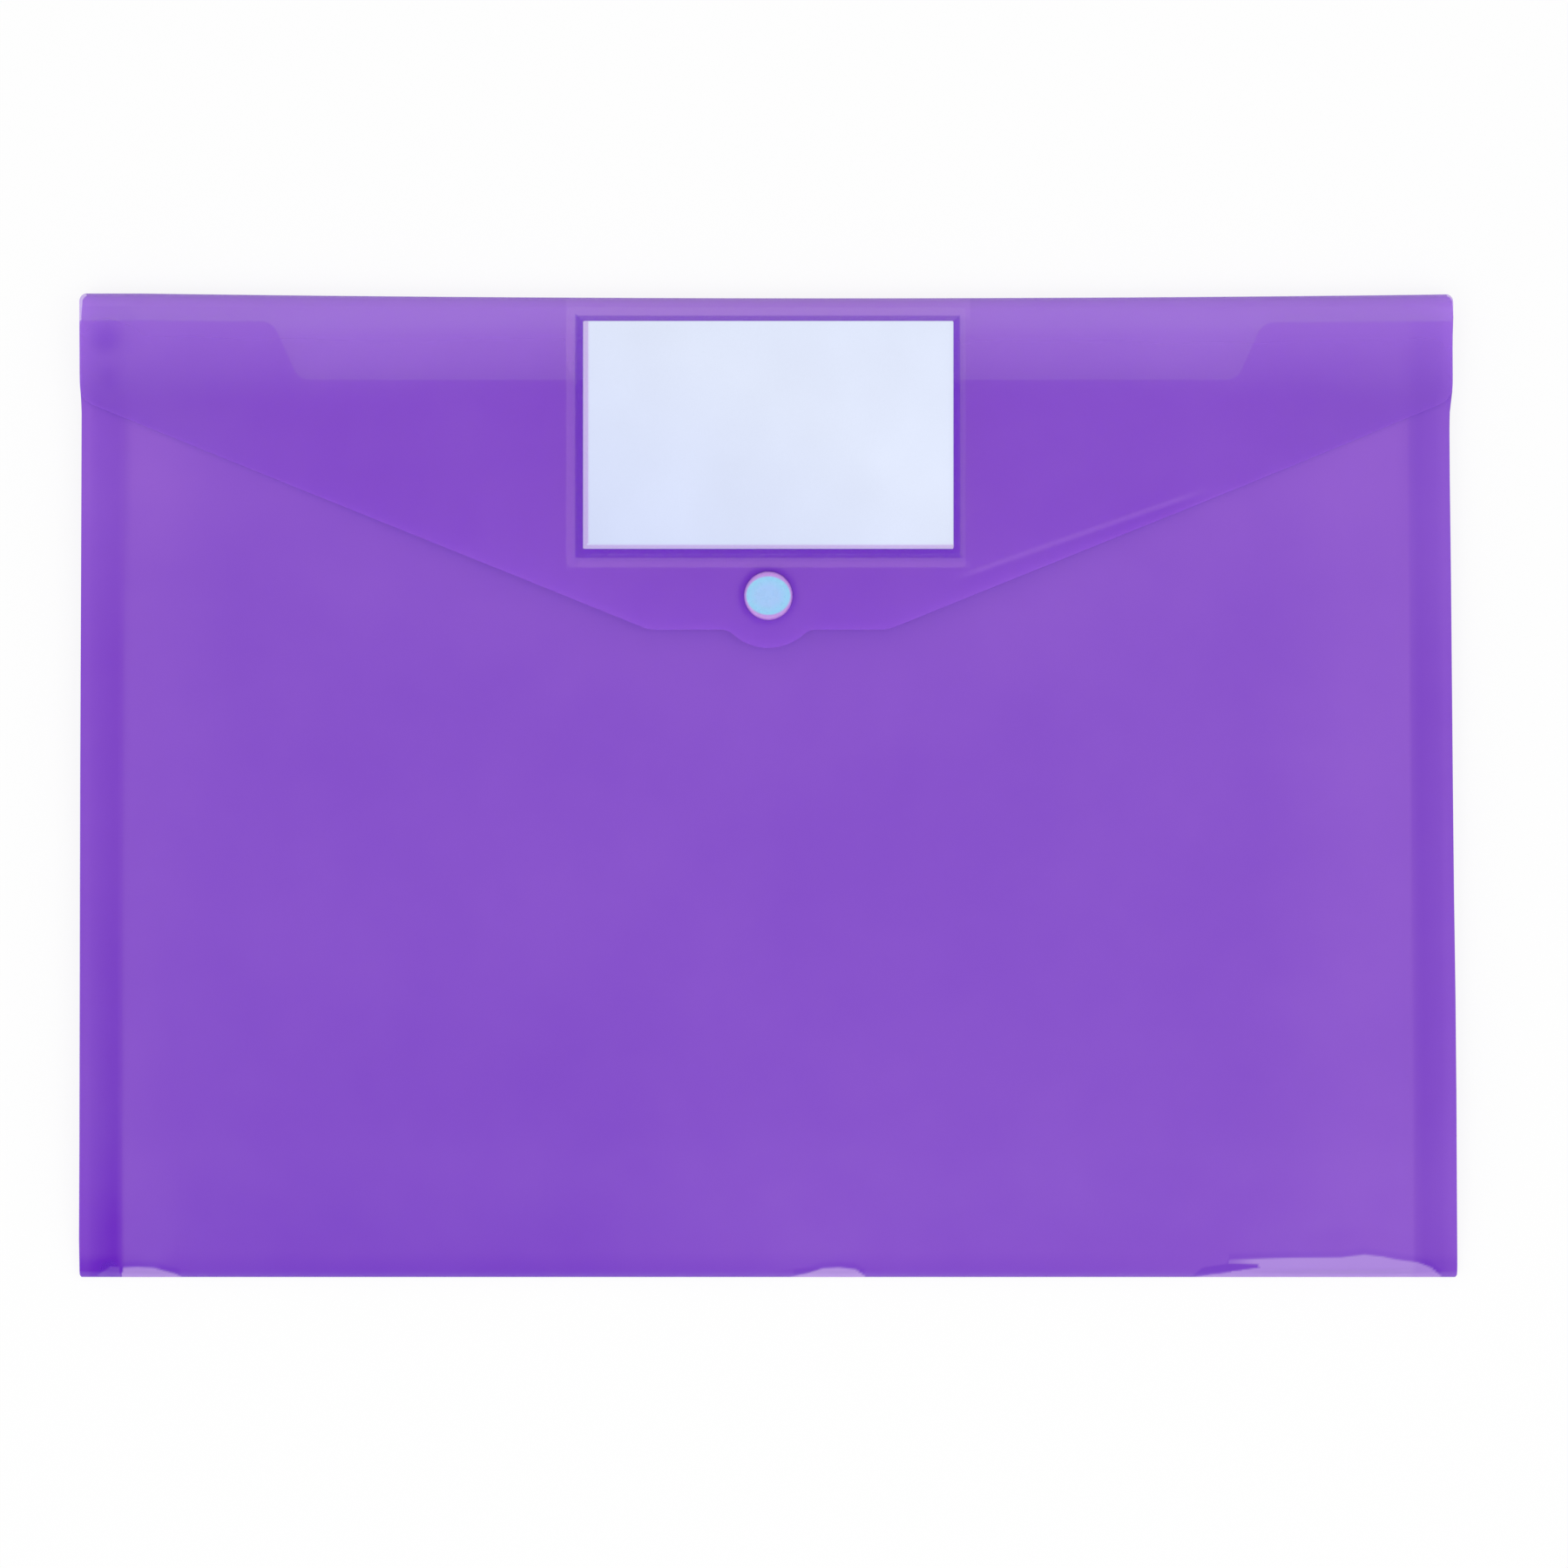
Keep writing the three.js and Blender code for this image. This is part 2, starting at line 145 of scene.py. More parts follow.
COLUMN_STEP = 3 * MM
ARC_STEPS = 8
EXTRA_INSETS = [3.0, 10.2, 11.6, 12.8]  # in millimetres, from the side edges
FOLD_HIGHLIGHT_STEP = 0.7  # in millimetres
BACK_COLUMNS = 110
BACK_ROWS = 60
LOWER_BEND_ROWS = 6
SPINE_ROWS = 4
BOTTOM_FOLD_ROWS = 10
RISE_ROWS = (18, 16)
RISE_SPLIT = 0.18
FRONT_ROWS = 46
UPPER_BEND_ROWS = 10
FLAP_ROWS = 44
FLAP_END_COLUMNS = 13
GUSSET_FLANK_ROWS = (8, 7)
GUSSET_FLANK_START = 0.15
POCKET_EDGE_ROWS = 22
POCKET_EDGE_WIDTH = 6 * MM
POCKET_EDGE_SHARE = 0.1
POCKET_INNER_ROWS = 30

# Places that follow from the sizes

NOTCH_Y = front_high.y - NOTCH_DEPTH
BACK_BEND_Y = spine_y - LOWER_BEND_RADIUS
FLAP_BEND_Y = spine_y - UPPER_BEND_RADIUS
FLAP_BEND_Z = flap_z - UPPER_BEND_RADIUS
SPINE_MIDDLE = (spine_low.z + spine_high.z) / 2

# How far each side draws in along it, as [y, millimetres], over which it leans in with height too
LEFT_DRAW = [
    (-118, -0.3), (-100, -0.25), (-87, -0.2), (0, -0.15), (50, 0.0), (91, 0.1), (93.5, -0.1), (96, -0.35),
    (99, -0.4), (108, -0.45), (118, -0.5),
]
RIGHT_DRAW = [
    (-118, -0.18), (-75, 0.0), (-50, 0.2), (-25, 0.53), (0, 0.76), (50, 1.14), (75, 1.41), (88, 1.47),
    (91.5, 1.3), (94, 0.85), (96, 0.65), (108, 0.7), (113, 0.5), (118, 0.5),
]


def smooth(low, high, value):
    """0 below low, 1 above high, and an even rise between them."""
    share = np.clip((value - low) / (high - low), 0, 1)
    return share * share * (3 - 2 * share)


def steps(a, b, count, last=False):
    """Even steps from a to b."""
    return [a + (b - a) * k / count for k in range(count + (1 if last else 0))]


def wave(x, y, size, seed):
    """A soft random height from -1 to 1 that changes over about that size."""
    return noise.noise(Vector((x / size, y / size, seed)))


def of_table(table, place):
    """A table's value at a place, both in metres (the table is in millimetres)."""
    places, values = zip(*table)
    return float(np.interp(place / MM, places, values)) * MM


# Outlines


def rounded_path(corners):
    """Points along a path of corners (x, y, radius), with an arc at each inner corner."""
    points = []
    for i, (x, y, radius) in enumerate(corners):
        corner = Vector((x, y))
        if i in (0, len(corners) - 1):
            continue
        back = (Vector(corners[i - 1][:2]) - corner).normalized()
        on = (Vector(corners[i + 1][:2]) - corner).normalized()
        half = math.acos(max(-1.0, min(1.0, back.dot(on)))) / 2
        centre = corner + (back + on).normalized() * radius / math.sin(half)
        start = corner + back * radius / math.tan(half) - centre
        end = corner + on * radius / math.tan(half) - centre
        turn = math.atan2(start.x * end.y - start.y * end.x, start.dot(end))
        first = math.atan2(start.y, start.x)
        for k in range(ARC_STEPS + 1):
            angle = first + turn * k / ARC_STEPS
            points.append((centre.x + radius * math.cos(angle), centre.y + radius * math.sin(angle)))
    return points


def columns_of(path, extra=()):
    """Places across a film: each of the path's and the extra ones, and even steps between them."""
    places = sorted({round(x, 6) for x in [p[0] for p in path] + list(extra)})
    filled = []
    for a, b in zip(places, places[1:]):
        filled += steps(a, b, max(1, math.ceil((b - a) / COLUMN_STEP)))
    return filled + [places[-1]]


def height_of(path, x):
    """The path's y at a place across the film."""
    return float(np.interp(x, [p[0] for p in path], [p[1] for p in path]))


def notch_path():
    """The front panel's top edge, cut down in the middle."""
    top = front_high.y
    half = [
        (half_width, top - 4 * CORNER_RADIUS, 0),
        (half_width, top, CORNER_RADIUS),
        (NOTCH_MOUTH_WIDTH / 2, top, NOTCH_RADIUS),
        (NOTCH_FLOOR_WIDTH / 2, top - NOTCH_DEPTH, NOTCH_RADIUS),
    ]
    return rounded_path([(-x, y, r) for x, y, r in half] + half[::-1])


def flap_path():
    """The flap's lower edge: two slopes, a straight end and a round tab."""
    end_y = snap_y - TAB_RADIUS + TAB_REACH
    tab_y = snap_y - TAB_RADIUS / math.cos(TAB_SLOPE)
    tab_half = (end_y - tab_y) / math.tan(TAB_SLOPE)
    side_y = end_y + (half_width - FLAP_END_WIDTH / 2) * math.tan(FLAP_SLOPE)
    half = [
        (half_width, flap_high.y, 0),
        (half_width, side_y, FLAP_SHOULDER_RADIUS),
        (FLAP_END_WIDTH / 2, end_y, FLAP_END_RADIUS),
        (tab_half, end_y, TAB_FILLET_RADIUS),
    ]
    return rounded_path([(-x, y, r) for x, y, r in half] + [(0, tab_y, TAB_RADIUS)] + half[::-1])


# Meshes


def rounded_off(reach, radius):
    """How far a round corner draws in at that distance from the end of the side."""
    if reach >= radius:
        return 0.0
    return radius - math.sqrt(max(radius**2 - (radius - max(reach, 0)) ** 2, 0))


def settle(point):
    """The real film is slightly out of square: its corners are round, its sides draw in towards the
    mouth, and its top edge is drawn down in the middle."""
    x, y, z = point
    corner = rounded_off(spine_high.y - y, UPPER_CORNER_RADIUS)
    corner += rounded_off(y - fold_low.y, LOWER_CORNER_RADIUS)
    corner *= float(smooth(half_width - 4 * CORNER_RADIUS, half_width, abs(x)))
    table = RIGHT_DRAW if x > 0 else LEFT_DRAW
    draw = max(0.0, of_table(table, y) + SIDE_LEAN * z) * (abs(x) / half_width) ** 4
    arch = max(0.0, 1 - ((x - FOLD_DIP_X) / half_width) ** 2)
    dip = FOLD_DIP * arch * float(smooth(100 * MM, spine_high.y, y))
    trim = math.copysign(END_TRIM * float(smooth(60 * MM, spine_high.y, abs(y))), y)
    return (x - math.copysign(corner + draw, x), y - dip - trim, z)


def film(name, columns, thickness=FILM, **marks):
    """A closed sheet of film about a grid of points, with sharp rims. Marks are numbers per point."""
    grid = np.array(columns, float)
    n_cols, n_rows = grid.shape[:2]
    across = np.gradient(grid, axis=0)
    along = np.gradient(grid, axis=1)
    normal = np.cross(across, along)
    normal /= np.linalg.norm(normal, axis=2, keepdims=True)
    top = (grid + normal * thickness / 2).reshape(-1, 3)
    bottom = (grid - normal * thickness / 2).reshape(-1, 3)
    count = n_cols * n_rows
    index = np.arange(count).reshape(n_cols, n_rows)
    a, b, c, d = index[:-1, :-1], index[1:, :-1], index[1:, 1:], index[:-1, 1:]
    quads = np.stack([a, b, c, d], axis=-1).reshape(-1, 4)
    rim = list(index[:, 0]) + list(index[-1, 1:]) + list(index[-2::-1, -1]) + list(index[0, -2:0:-1])
    faces = quads.tolist() + (quads[:, ::-1] + count).tolist()
    for p, q in zip(rim, rim[1:] + rim[:1]):
        faces.append([int(q), int(p), int(p) + count, int(q) + count])
    mesh = bpy.data.meshes.new(name)
    mesh.from_pydata(np.vstack([top, bottom]).tolist(), [], faces)
    mesh.polygons.foreach_set("use_smooth", [True] * len(mesh.polygons))
    on_rim = {int(p) for p in rim}
    sharp = mesh.attributes.new("sharp_edge", "BOOLEAN", "EDGE")
    for edge in mesh.edges:
        p, q = edge.vertices
        side = (p >= count) == (q >= count)
        sharp.data[edge.index].value = side and p % count in on_rim and q % count in on_rim
    rest = mesh.attributes.new("rest", "FLOAT_VECTOR", "POINT")
    rest.data.foreach_set("vector", np.vstack([grid.reshape(-1, 3)] * 2).astype(np.float32).ravel())
    for mark, values in marks.items():
        attribute = mesh.attributes.new(mark, "FLOAT", "POINT")
        flat = np.array(values, np.float32).reshape(-1)
        attribute.data.foreach_set("value", np.concatenate([flat, flat]))
    piece = bpy.data.objects.new(name, mesh)
    bpy.context.scene.collection.objects.link(piece)
    return piece


# Painted highlights on the bottom fold: [x, height over the bottom edge] and how strong each one is

FOLD_HIGHLIGHTS = [
    (0.25, [(-161.0, 0.3), (-157.5, 2.6), (-155.4, 2.4), (-155.1, 0)]),
    (1.0, [(-155.0, 0), (-154.6, 2.3), (-151.0, 2.5), (-147.0, 2.3), (-142.0, 0.8), (-140.5, 0)]),
    (1.2, [(5.0, 0), (9.0, 0.9), (13.0, 2.2), (17.0, 2.4), (21.0, 1.9), (23.4, 0)]),
    (1.0, [
        (101.0, 0), (105.0, 0.5), (109.5, 1.0), (110.5, 4.2), (125.0, 4.7), (137.0, 4.8), (142.7, 5.5),
        (147.0, 5.0), (150.2, 4.3), (155.4, 3.6), (158.6, 2.4), (161.0, 0.4), (161.5, 0),
    ]),
]
FOLD_LIFTS = [(-147.5, 9, 1.4), (14.5, 13, 1.4), (138, 27, 2.2)]  # place, half width, height
FOLD_RISE = (0, 1.5 * MM)
FOLD_SETTLE = (2 * MM, 14 * MM)
TONGUE_END = 117.9 * MM
TONGUE_START = 101 * MM
TONGUE_HIGHLIGHT = 0.3
TONGUE_LINE_TONE = 2.2
TONGUE_LOW = [(101.0, 0), (106.0, 0.7), (117.9, 2.3)]
TONGUE_HIGH = [(101.0, 0.1), (104.0, 2.6), (110.0, 3.5), (117.0, 3.3), (117.9, 2.3)]


def fold_puff(x):
    """How far the bottom fold stands up at a place across the film."""
    rise = [high * max(0.0, 1 - ((x / MM - middle) / half) ** 2) ** 2 for middle, half, high in FOLD_LIFTS]
    return max(rise) * MM


def fold_highlight(x, height):
    """How strong the painted highlight on the fold is at a height over the bottom edge."""
    white = 0.0
    for share, table in FOLD_HIGHLIGHTS:
        top = of_table(table, x)
        if top > 0.05 * MM:
            white = max(white, share * float(smooth(top + 0.3 * MM, top - 0.2 * MM, height)))
    if TONGUE_START < x < TONGUE_END:
        inside = min(height - of_table(TONGUE_LOW, x), of_table(TONGUE_HIGH, x) - height)
        white *= 1 - float(smooth(-0.1 * MM, 0.3 * MM, inside))
        if height > of_table(TONGUE_LOW, x):
            white *= TONGUE_HIGHLIGHT + (1 - TONGUE_HIGHLIGHT) * float(smooth(110 * MM, TONGUE_END, x))
    return white


def fold_shade_line(x, height):
    """Painted shade: a darker line over each painted highlight, and the tongue in the last one."""
    top = max(of_table(table, x) for white, table in FOLD_HIGHLIGHTS if white > 0.5)
    line = 0.0
    if top > 0.3 * MM:
        line = float(smooth(top, top + 0.5 * MM, height) * smooth(top + 2.2 * MM, top + 0.8 * MM, height))
    if TONGUE_START < x < TONGUE_END + 0.3 * MM:
        inside = min(height - of_table(TONGUE_LOW, x), of_table(TONGUE_HIGH, x) - height)
        line = max(line, TONGUE_LINE_TONE * float(smooth(-0.1 * MM, 0.5 * MM, inside)))
    return line


# Tones: how much deeper (over 0) or paler (under 0) the film looks than its plain colour. Of each pair
# of tables the first is for the left gusset. Their places are in millimetres, in from the side edge for
# CREASE_TONE and over the envelope's middle for the others.

# CREASE_TONE and CREASE_DEPTH are painted shade inside each gusset's pleat, deepest at its crease
CREASE_TONE = (
    [(1.8, 0), (4.5, 0.5), (7.8, 1.0), (8.9, 1.0), (9.8, 0.5), (10.9, 0)],
    [(1.8, 0), (4.5, 0.5), (7.6, 1.0), (8.5, 0.85), (9.3, 0.4), (10.8, 0)],
)
CREASE_DEPTH = (
    [(-110, 2.5), (-66, 1.9), (-33, 1.5), (0, 1.1), (70, 0.9)],
    [(-110, 1.1), (-30, 1.2), (70, 1.1)],
)
GUSSET_TONE = (
    [(-105, 0.0), (-80, -0.1), (-20, -0.65), (40, -0.7), (70, -0.9)],
    [(-110, -0.45), (0, -0.5), (40, -0.35), (70, 0)],
)
GUSSET_DULL = (
    [(-105, 0.02), (-80, 0.1), (10, 0.08), (40, 0.05), (65, 0)],
    [(-110, 0.09), (10, 0.11), (40, 0.07), (65, 0)],
)
GUSSET_PALE = ([(-100, 0), (-80, 0.02), (30, 0.02), (65, 0.145)], [(-110, 0.06), (20, 0.06), (65, 0.2)])
GUSSET_LOOK_END = (11.2 * MM, 9.6 * MM)
WELD_LINE_END = (3.4 * MM, 2.2 * MM)
WELD_LINE_TONE = -0.5


def looked_up(table, place):
    """A table's value at a place in metres (the table's places are in millimetres)."""
    places, values = zip(*table)
    return float(np.interp(place / MM, places, values))


def over_gusset(x):
    """1 over a side gusset and 0 over the rest of the film."""
    return float(smooth(*GUSSET_LOOK_END, half_width - abs(x)))


def gusset_tone(x, y):
    """The tone over a side gusset: deepest at its crease with painted shade, palest along its weld."""
    inset = half_width - abs(x)
    side = int(x > 0)
    crease = looked_up(CREASE_DEPTH[side], y) * looked_up(CREASE_TONE[side], inset)
    weld = WELD_LINE_TONE * float(smooth(*WELD_LINE_END, inset))
    return crease + weld + looked_up(GUSSET_TONE[side], y) * over_gusset(x)


def gusset_dull(x, y):
    """How dull the film looks over a side gusset, where four layers of it lie over each other."""
    return looked_up(GUSSET_DULL[int(x > 0)], y) * over_gusset(x)


def gusset_pale(x, y):
    """How pale the film looks over a side gusset."""
    return looked_up(GUSSET_PALE[int(x > 0)], y) * over_gusset(x)


# Soft changes of the front's tone: how much, and from where to where across and along it in millimetres
# Paler towards the sides, most of all at the right: painted light that comes in at the sides
SIDE_FADES = [
    (-0.3, (-125, -148), None),
    (-0.8, (-125, -148), (-40, 40)),
    (-0.5, (-135, -150), (45, 70)),
    (-0.2, (20, 80), None),
    (-0.3, (20, 80), (-50, 10)),
    (-1.1, (115, 143), None),
    (-0.3, (115, 143), (-50, 10)),
]
LOWER_FADES = [(0.6, (0, -60), (-88, -108))]
LOWER_LEFT_FADES = [(1.0, (10, -40), (-20, -80))]
SIDE_MARGINS = [(9.8, 12.5), (9.4, 11)]
FRONT_TONE = 0.4
LOWER_EDGE_TONE = 1.0
LOWER_CORNER_TONE = 1.4
LEFT_RIM_TONE = -0.8
UNDER_FLAP_PAINTED_LIGHT = -1.0
FOLD_SHADE_LINE_TONE = 1.2

# From where to where the tones of the lower corners, the lower edge, the left rim and the flap come in
CORNER_X = (154 * MM, 159 * MM)
CORNER_HEIGHT = (6 * MM, 3 * MM)
EDGE_HEIGHT = (7 * MM, 1.5 * MM)
EDGE_X = (120 * MM, 60 * MM)
RIM_INSET = (4 * MM, 1.5 * MM)
RIM_Y = (60 * MM, 75 * MM)
UNDER_FLAP_REACH = (40 * MM, 4 * MM)
UNDER_FLAP_INSET = (9 * MM, 14 * MM)


def faded(fades, x, y):
    """The sum of a table's soft changes at a place."""
    total = 0.0
    for tone, across, along in fades:
        total += tone * smooth(*across, x / MM) * (smooth(*along, y / MM) if along else 1)
    return total


def over_back(x, y):
    """1 where the front lies right over the back: between the gussets and below the notch."""
    return (1 - over_gusset(x)) * float(smooth(NOTCH_Y, NOTCH_Y - 6 * MM, y))


def front_tone(x, y, height, flap_edge):
    """The front panel's tone at a place, from its height over the bottom edge and the flap's edge there."""
    inset = half_width - abs(x)
    side = faded(SIDE_FADES, x, y) * smooth(*SIDE_MARGINS[int(x > 0)], inset / MM)
    low = faded(LOWER_FADES, x, y) + faded(LOWER_LEFT_FADES, x, y) * smooth(-158, -135, x / MM)
    corner = LOWER_CORNER_TONE * smooth(*CORNER_X, abs(x)) * smooth(*CORNER_HEIGHT, height)
    edge = LOWER_EDGE_TONE * smooth(*EDGE_HEIGHT, height) * smooth(*EDGE_X, x)
    rim = LEFT_RIM_TONE * smooth(*RIM_INSET, half_width + x) * smooth(*RIM_Y, y)
    # Painted light along the front just below the flap's edge, against the flap's shadow there
    near_flap = smooth(*UNDER_FLAP_REACH, abs(flap_edge - y)) * smooth(*UNDER_FLAP_INSET, inset)
    plain = FRONT_TONE + side + low + corner + edge + rim + UNDER_FLAP_PAINTED_LIGHT * near_flap
    # The line over each painted fold highlight is painted shade
    return float(plain) + gusset_tone(x, y) + FOLD_SHADE_LINE_TONE * fold_shade_line(x, height)


# Dark places where the gussets' pleats show through the flap's ends: x, y, half width, half height, tone
END_SPOTS = [(-158.6, 107.5, 5, 5.5, 4.2), (-158, 98, 3, 5, 1.2), (156, 103, 6, 10, 0.8)]

FLAP_SIDE_TONE = -1.0
FLAP_END_DULL = 0.12
FLAP_LEFT_END_LOSS = 0.14
FLAP_RIGHT_GAIN = 0.05


def flap_tone(x, y):
    """The flap's tone at a place: its ends show the gussets' pleats, and a paler side edge."""
    tone = FLAP_SIDE_TONE * float(smooth(4 * MM, 1 * MM, half_width - abs(x)))
    for place_x, place_y, width, height, depth in END_SPOTS:
        away = math.hypot((x / MM - place_x) / width, (y / MM - place_y) / height)
        tone += depth * max(0.0, 1 - away**2) ** 2
    return tone


def flap_dull(x):
    """How dull the flap looks: more towards its two ends."""
    return float(FLAP_END_DULL * smooth(110 * MM, 152 * MM, abs(x)))


def flap_pale(x, y):
    """How pale the flap looks: more towards its fold with painted light, and less at its left end."""
    end = FLAP_LEFT_END_LOSS * float(smooth(-148 * MM, -154 * MM, x) * smooth(102 * MM, 106 * MM, y))
    right = FLAP_RIGHT_GAIN * float(smooth(0, 110 * MM, x))
    return (1 + right) * float(np.interp(y, FLAP_PALE_BAND, (0, 1))) - end


# Film pieces


def back_film():
    """The back panel, and round its bend as far as the middle of the spine."""
    section = [(y, FILM / 2) for y in steps(back_low.y, BACK_BEND_Y, BACK_ROWS)]
    for angle in steps(-math.pi / 2, 0, LOWER_BEND_ROWS):
        y = BACK_BEND_Y + LOWER_BEND_RADIUS * math.cos(angle)
        section.append((y, FILM / 2 + LOWER_BEND_RADIUS * (1 + math.sin(angle))))
    spine = steps(FILM / 2 + LOWER_BEND_RADIUS, SPINE_MIDDLE, SPINE_ROWS, last=True)
    section += [(spine_y, z) for z in spine]
    xs = steps(-half_width, half_width, BACK_COLUMNS, last=True)
    piece = film("back_film", [[settle((x, y, z)) for y, z in section] for x in xs])
    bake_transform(piece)
    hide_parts("back_panel", "spine")
    return piece


def front_section(x, top_y):
    """The side view of the bottom fold and the front panel: (y, z) from below the fold to the top edge."""
    radius = (fold_high.z - FILM) / 2
    centre_y = back_low.y
    section = []
    for angle in steps(-math.pi / 2, -3 * math.pi / 2 + RISE_ANGLE, BOTTOM_FOLD_ROWS):
        section.append((centre_y + radius * math.cos(angle), radius + FILM / 2 + radius * math.sin(angle)))
    start_y = centre_y - radius * math.sin(RISE_ANGLE)
    start_z = FILM / 2 + radius * (1 + math.cos(RISE_ANGLE))
    for t in steps(0, RISE_SPLIT, RISE_ROWS[0]) + steps(RISE_SPLIT, 1, RISE_ROWS[1]):
        section.append((start_y + RISE_LENGTH * t, front_z - (front_z - start_z) * (1 - t) ** 2))
    section += [(y, front_z) for y in steps(start_y + RISE_LENGTH, top_y, FRONT_ROWS, last=True)]
    puff = fold_puff(x)
    lifted = []
    for y, z in section:
        reach = y - start_y
        swell = smooth(*FOLD_RISE, reach) * (1 - smooth(*FOLD_SETTLE, reach))
        lifted.append((y, z + puff * float(swell)))
    return lifted


def front_film():
    """The bottom fold and the front panel."""
    path, cover = notch_path(), flap_path()
    columns, pale, tone, dull, glow = [], [], [], [], []
    insets = [inset for table in CREASE_TONE for inset, _ in table] + EXTRA_INSETS
    fine = [side * (half_width - inset * MM) for inset in insets for side in (-1, 1)]
    for _, table in FOLD_HIGHLIGHTS:
        first, last = table[0][0], table[-1][0]
        fine += [x * MM for x in steps(first, last, math.ceil((last - first) / FOLD_HIGHLIGHT_STEP), last=True)]
    for x in columns_of(path, fine):
        points, pales_and_highlights, tones, dulls, glows = [], [], [], [], []
        for y, z in front_section(x, height_of(path, x)):
            calm = smooth(half_width, half_width - FRONT_CALM_INSET, abs(x)) * smooth(*FRONT_CALM_Y, y)
            near_snap = smooth(*FRONT_CALM_SNAP, math.hypot(x, y - snap_y))
            lift = FRONT_WAVE * wave(x, y, *FRONT_WAVE_FORM) * calm * near_snap
            points.append(settle((x, y, z + float(lift))))
            # The pale mark holds the painted fold highlights and the gussets' paleness
            pales_and_highlights.append(max(fold_highlight(x, y - fold_low.y), gusset_pale(x, y)))
            tones.append(front_tone(x, y, y - fold_low.y, height_of(cover, x)))
            dulls.append(gusset_dull(x, y))
            glows.append(over_back(x, y))
        columns.append(points)
        pale.append(pales_and_highlights)
        tone.append(tones)
        dull.append(dulls)
        glow.append(glows)
    piece = film("front_film", columns, pale=pale, tone=tone, dull=dull, glow=glow)
    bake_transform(piece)
    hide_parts("bottom_fold", "front_panel")
    return piece


def droop(x, y):
    """How far the flap hangs below its level at its sides."""
    return FLAP_DROOP * float(smooth(*DROOP_X, abs(x)) * smooth(*DROOP_Y, y))


def flap_film():
    """The upper half of the spine, its bend and the flap."""
    path = flap_path()
    turn = [(spine_y, z) for z in steps(SPINE_MIDDLE, FLAP_BEND_Z, 3)]
    for angle in steps(0, math.pi / 2, UPPER_BEND_ROWS):
        y = FLAP_BEND_Y + UPPER_BEND_RADIUS * math.cos(angle)
        turn.append((y, FLAP_BEND_Z + UPPER_BEND_RADIUS * math.sin(angle)))
    columns, pale, tone, dull = [], [], [], []
    ends = steps(148 * MM, half_width, FLAP_END_COLUMNS)
    for x in columns_of(path, ends + [-x for x in ends]):
        points = [settle((x, y, z)) for y, z in turn]
        # The spine and its bend take the full pale colour: painted light where the film turns over at the
        # top
        pale.append([1.0] * len(turn))
        tone.append([0.0] * len(turn))
        for y in steps(FLAP_BEND_Y, height_of(path, x), FLAP_ROWS, last=True):
            calm = smooth(*FLAP_CALM_X, abs(x)) * smooth(FLAP_BEND_Y, FLAP_BEND_Y - FLAP_CALM_REACH, y)
            lift = FLAP_WAVE * wave(x, y, *FLAP_WAVE_FORM) * calm - droop(x, y)
            points.append(settle((x, y, flap_z + float(lift))))
            pale[-1].append(flap_pale(x, y))
            tone[-1].append(flap_tone(x, y))
        dull.append([flap_dull(x)] * len(points))
        columns.append(points)
    piece = film("flap_film", columns[::-1], pale=pale[::-1], tone=tone[::-1], dull=dull[::-1])
    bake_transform(piece)
    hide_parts("flap", "spine")
    return piece


def gusset_section(under):
    """The side gusset's section [(inset from the side edge, z)] where the front's underside is that high."""
    reach = gusset_high.x - gusset_low.x
    high = under - GUSSET_GAP - FILM / 2
    low = FILM + GUSSET_GAP + FILM / 2
    radius = min(GUSSET_CREASE_RADIUS, (high - low) / 2 * 0.9)
    middle = (high + low) / 2
    crease_x = reach - radius - FILM / 2
    section = [(0, high), (GUSSET_WELD / 2, high), (GUSSET_WELD, high)]
    section += [
        (GUSSET_WELD + (crease_x - GUSSET_WELD) * t, high + (middle + radius - high) * t)
        for t in steps(GUSSET_FLANK_START, 1, GUSSET_FLANK_ROWS[0])
    ]
    section += [
        (crease_x + radius * math.sin(angle), middle + radius * math.cos(angle))
        for angle in steps(0, math.pi, ARC_STEPS, last=True)
    ]
    section += [
        (GUSSET_WELD + (crease_x - GUSSET_WELD) * t, low + (middle - radius - low) * t)
        for t in steps(1 - GUSSET_FLANK_START, 0, GUSSET_FLANK_ROWS[1])
    ]
    return section + [(GUSSET_WELD, low), (GUSSET_WELD / 2, low), (0, low)]


def gusset_film(name, node, side):
    """A pleated side gusset."""
    stations = [
        (y, z - FILM / 2)
        for y, z in front_section(side * half_width, gusset_high.y)
        if y > gusset_low.y and z > front_z / 4
    ]
    columns, pale, tone, dull = [], [], [], []
    for y, under in stations:
        section = gusset_section(under)
        xs = [side * (half_width - inset) for inset, _ in section]
        columns.append([settle((x, y, z)) for x, (_, z) in zip(xs, section)])
        pale.append([gusset_pale(x, y) for x in xs])
        tone.append([gusset_tone(x, y) for x in xs])
        dull.append([gusset_dull(x, y) for x in xs])
    if side > 0:
        columns, pale, tone, dull = columns[::-1], pale[::-1], tone[::-1], dull[::-1]
    piece = film(name, columns, pale=pale, tone=tone, dull=dull)
    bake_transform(piece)
    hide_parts(node)
    return piece


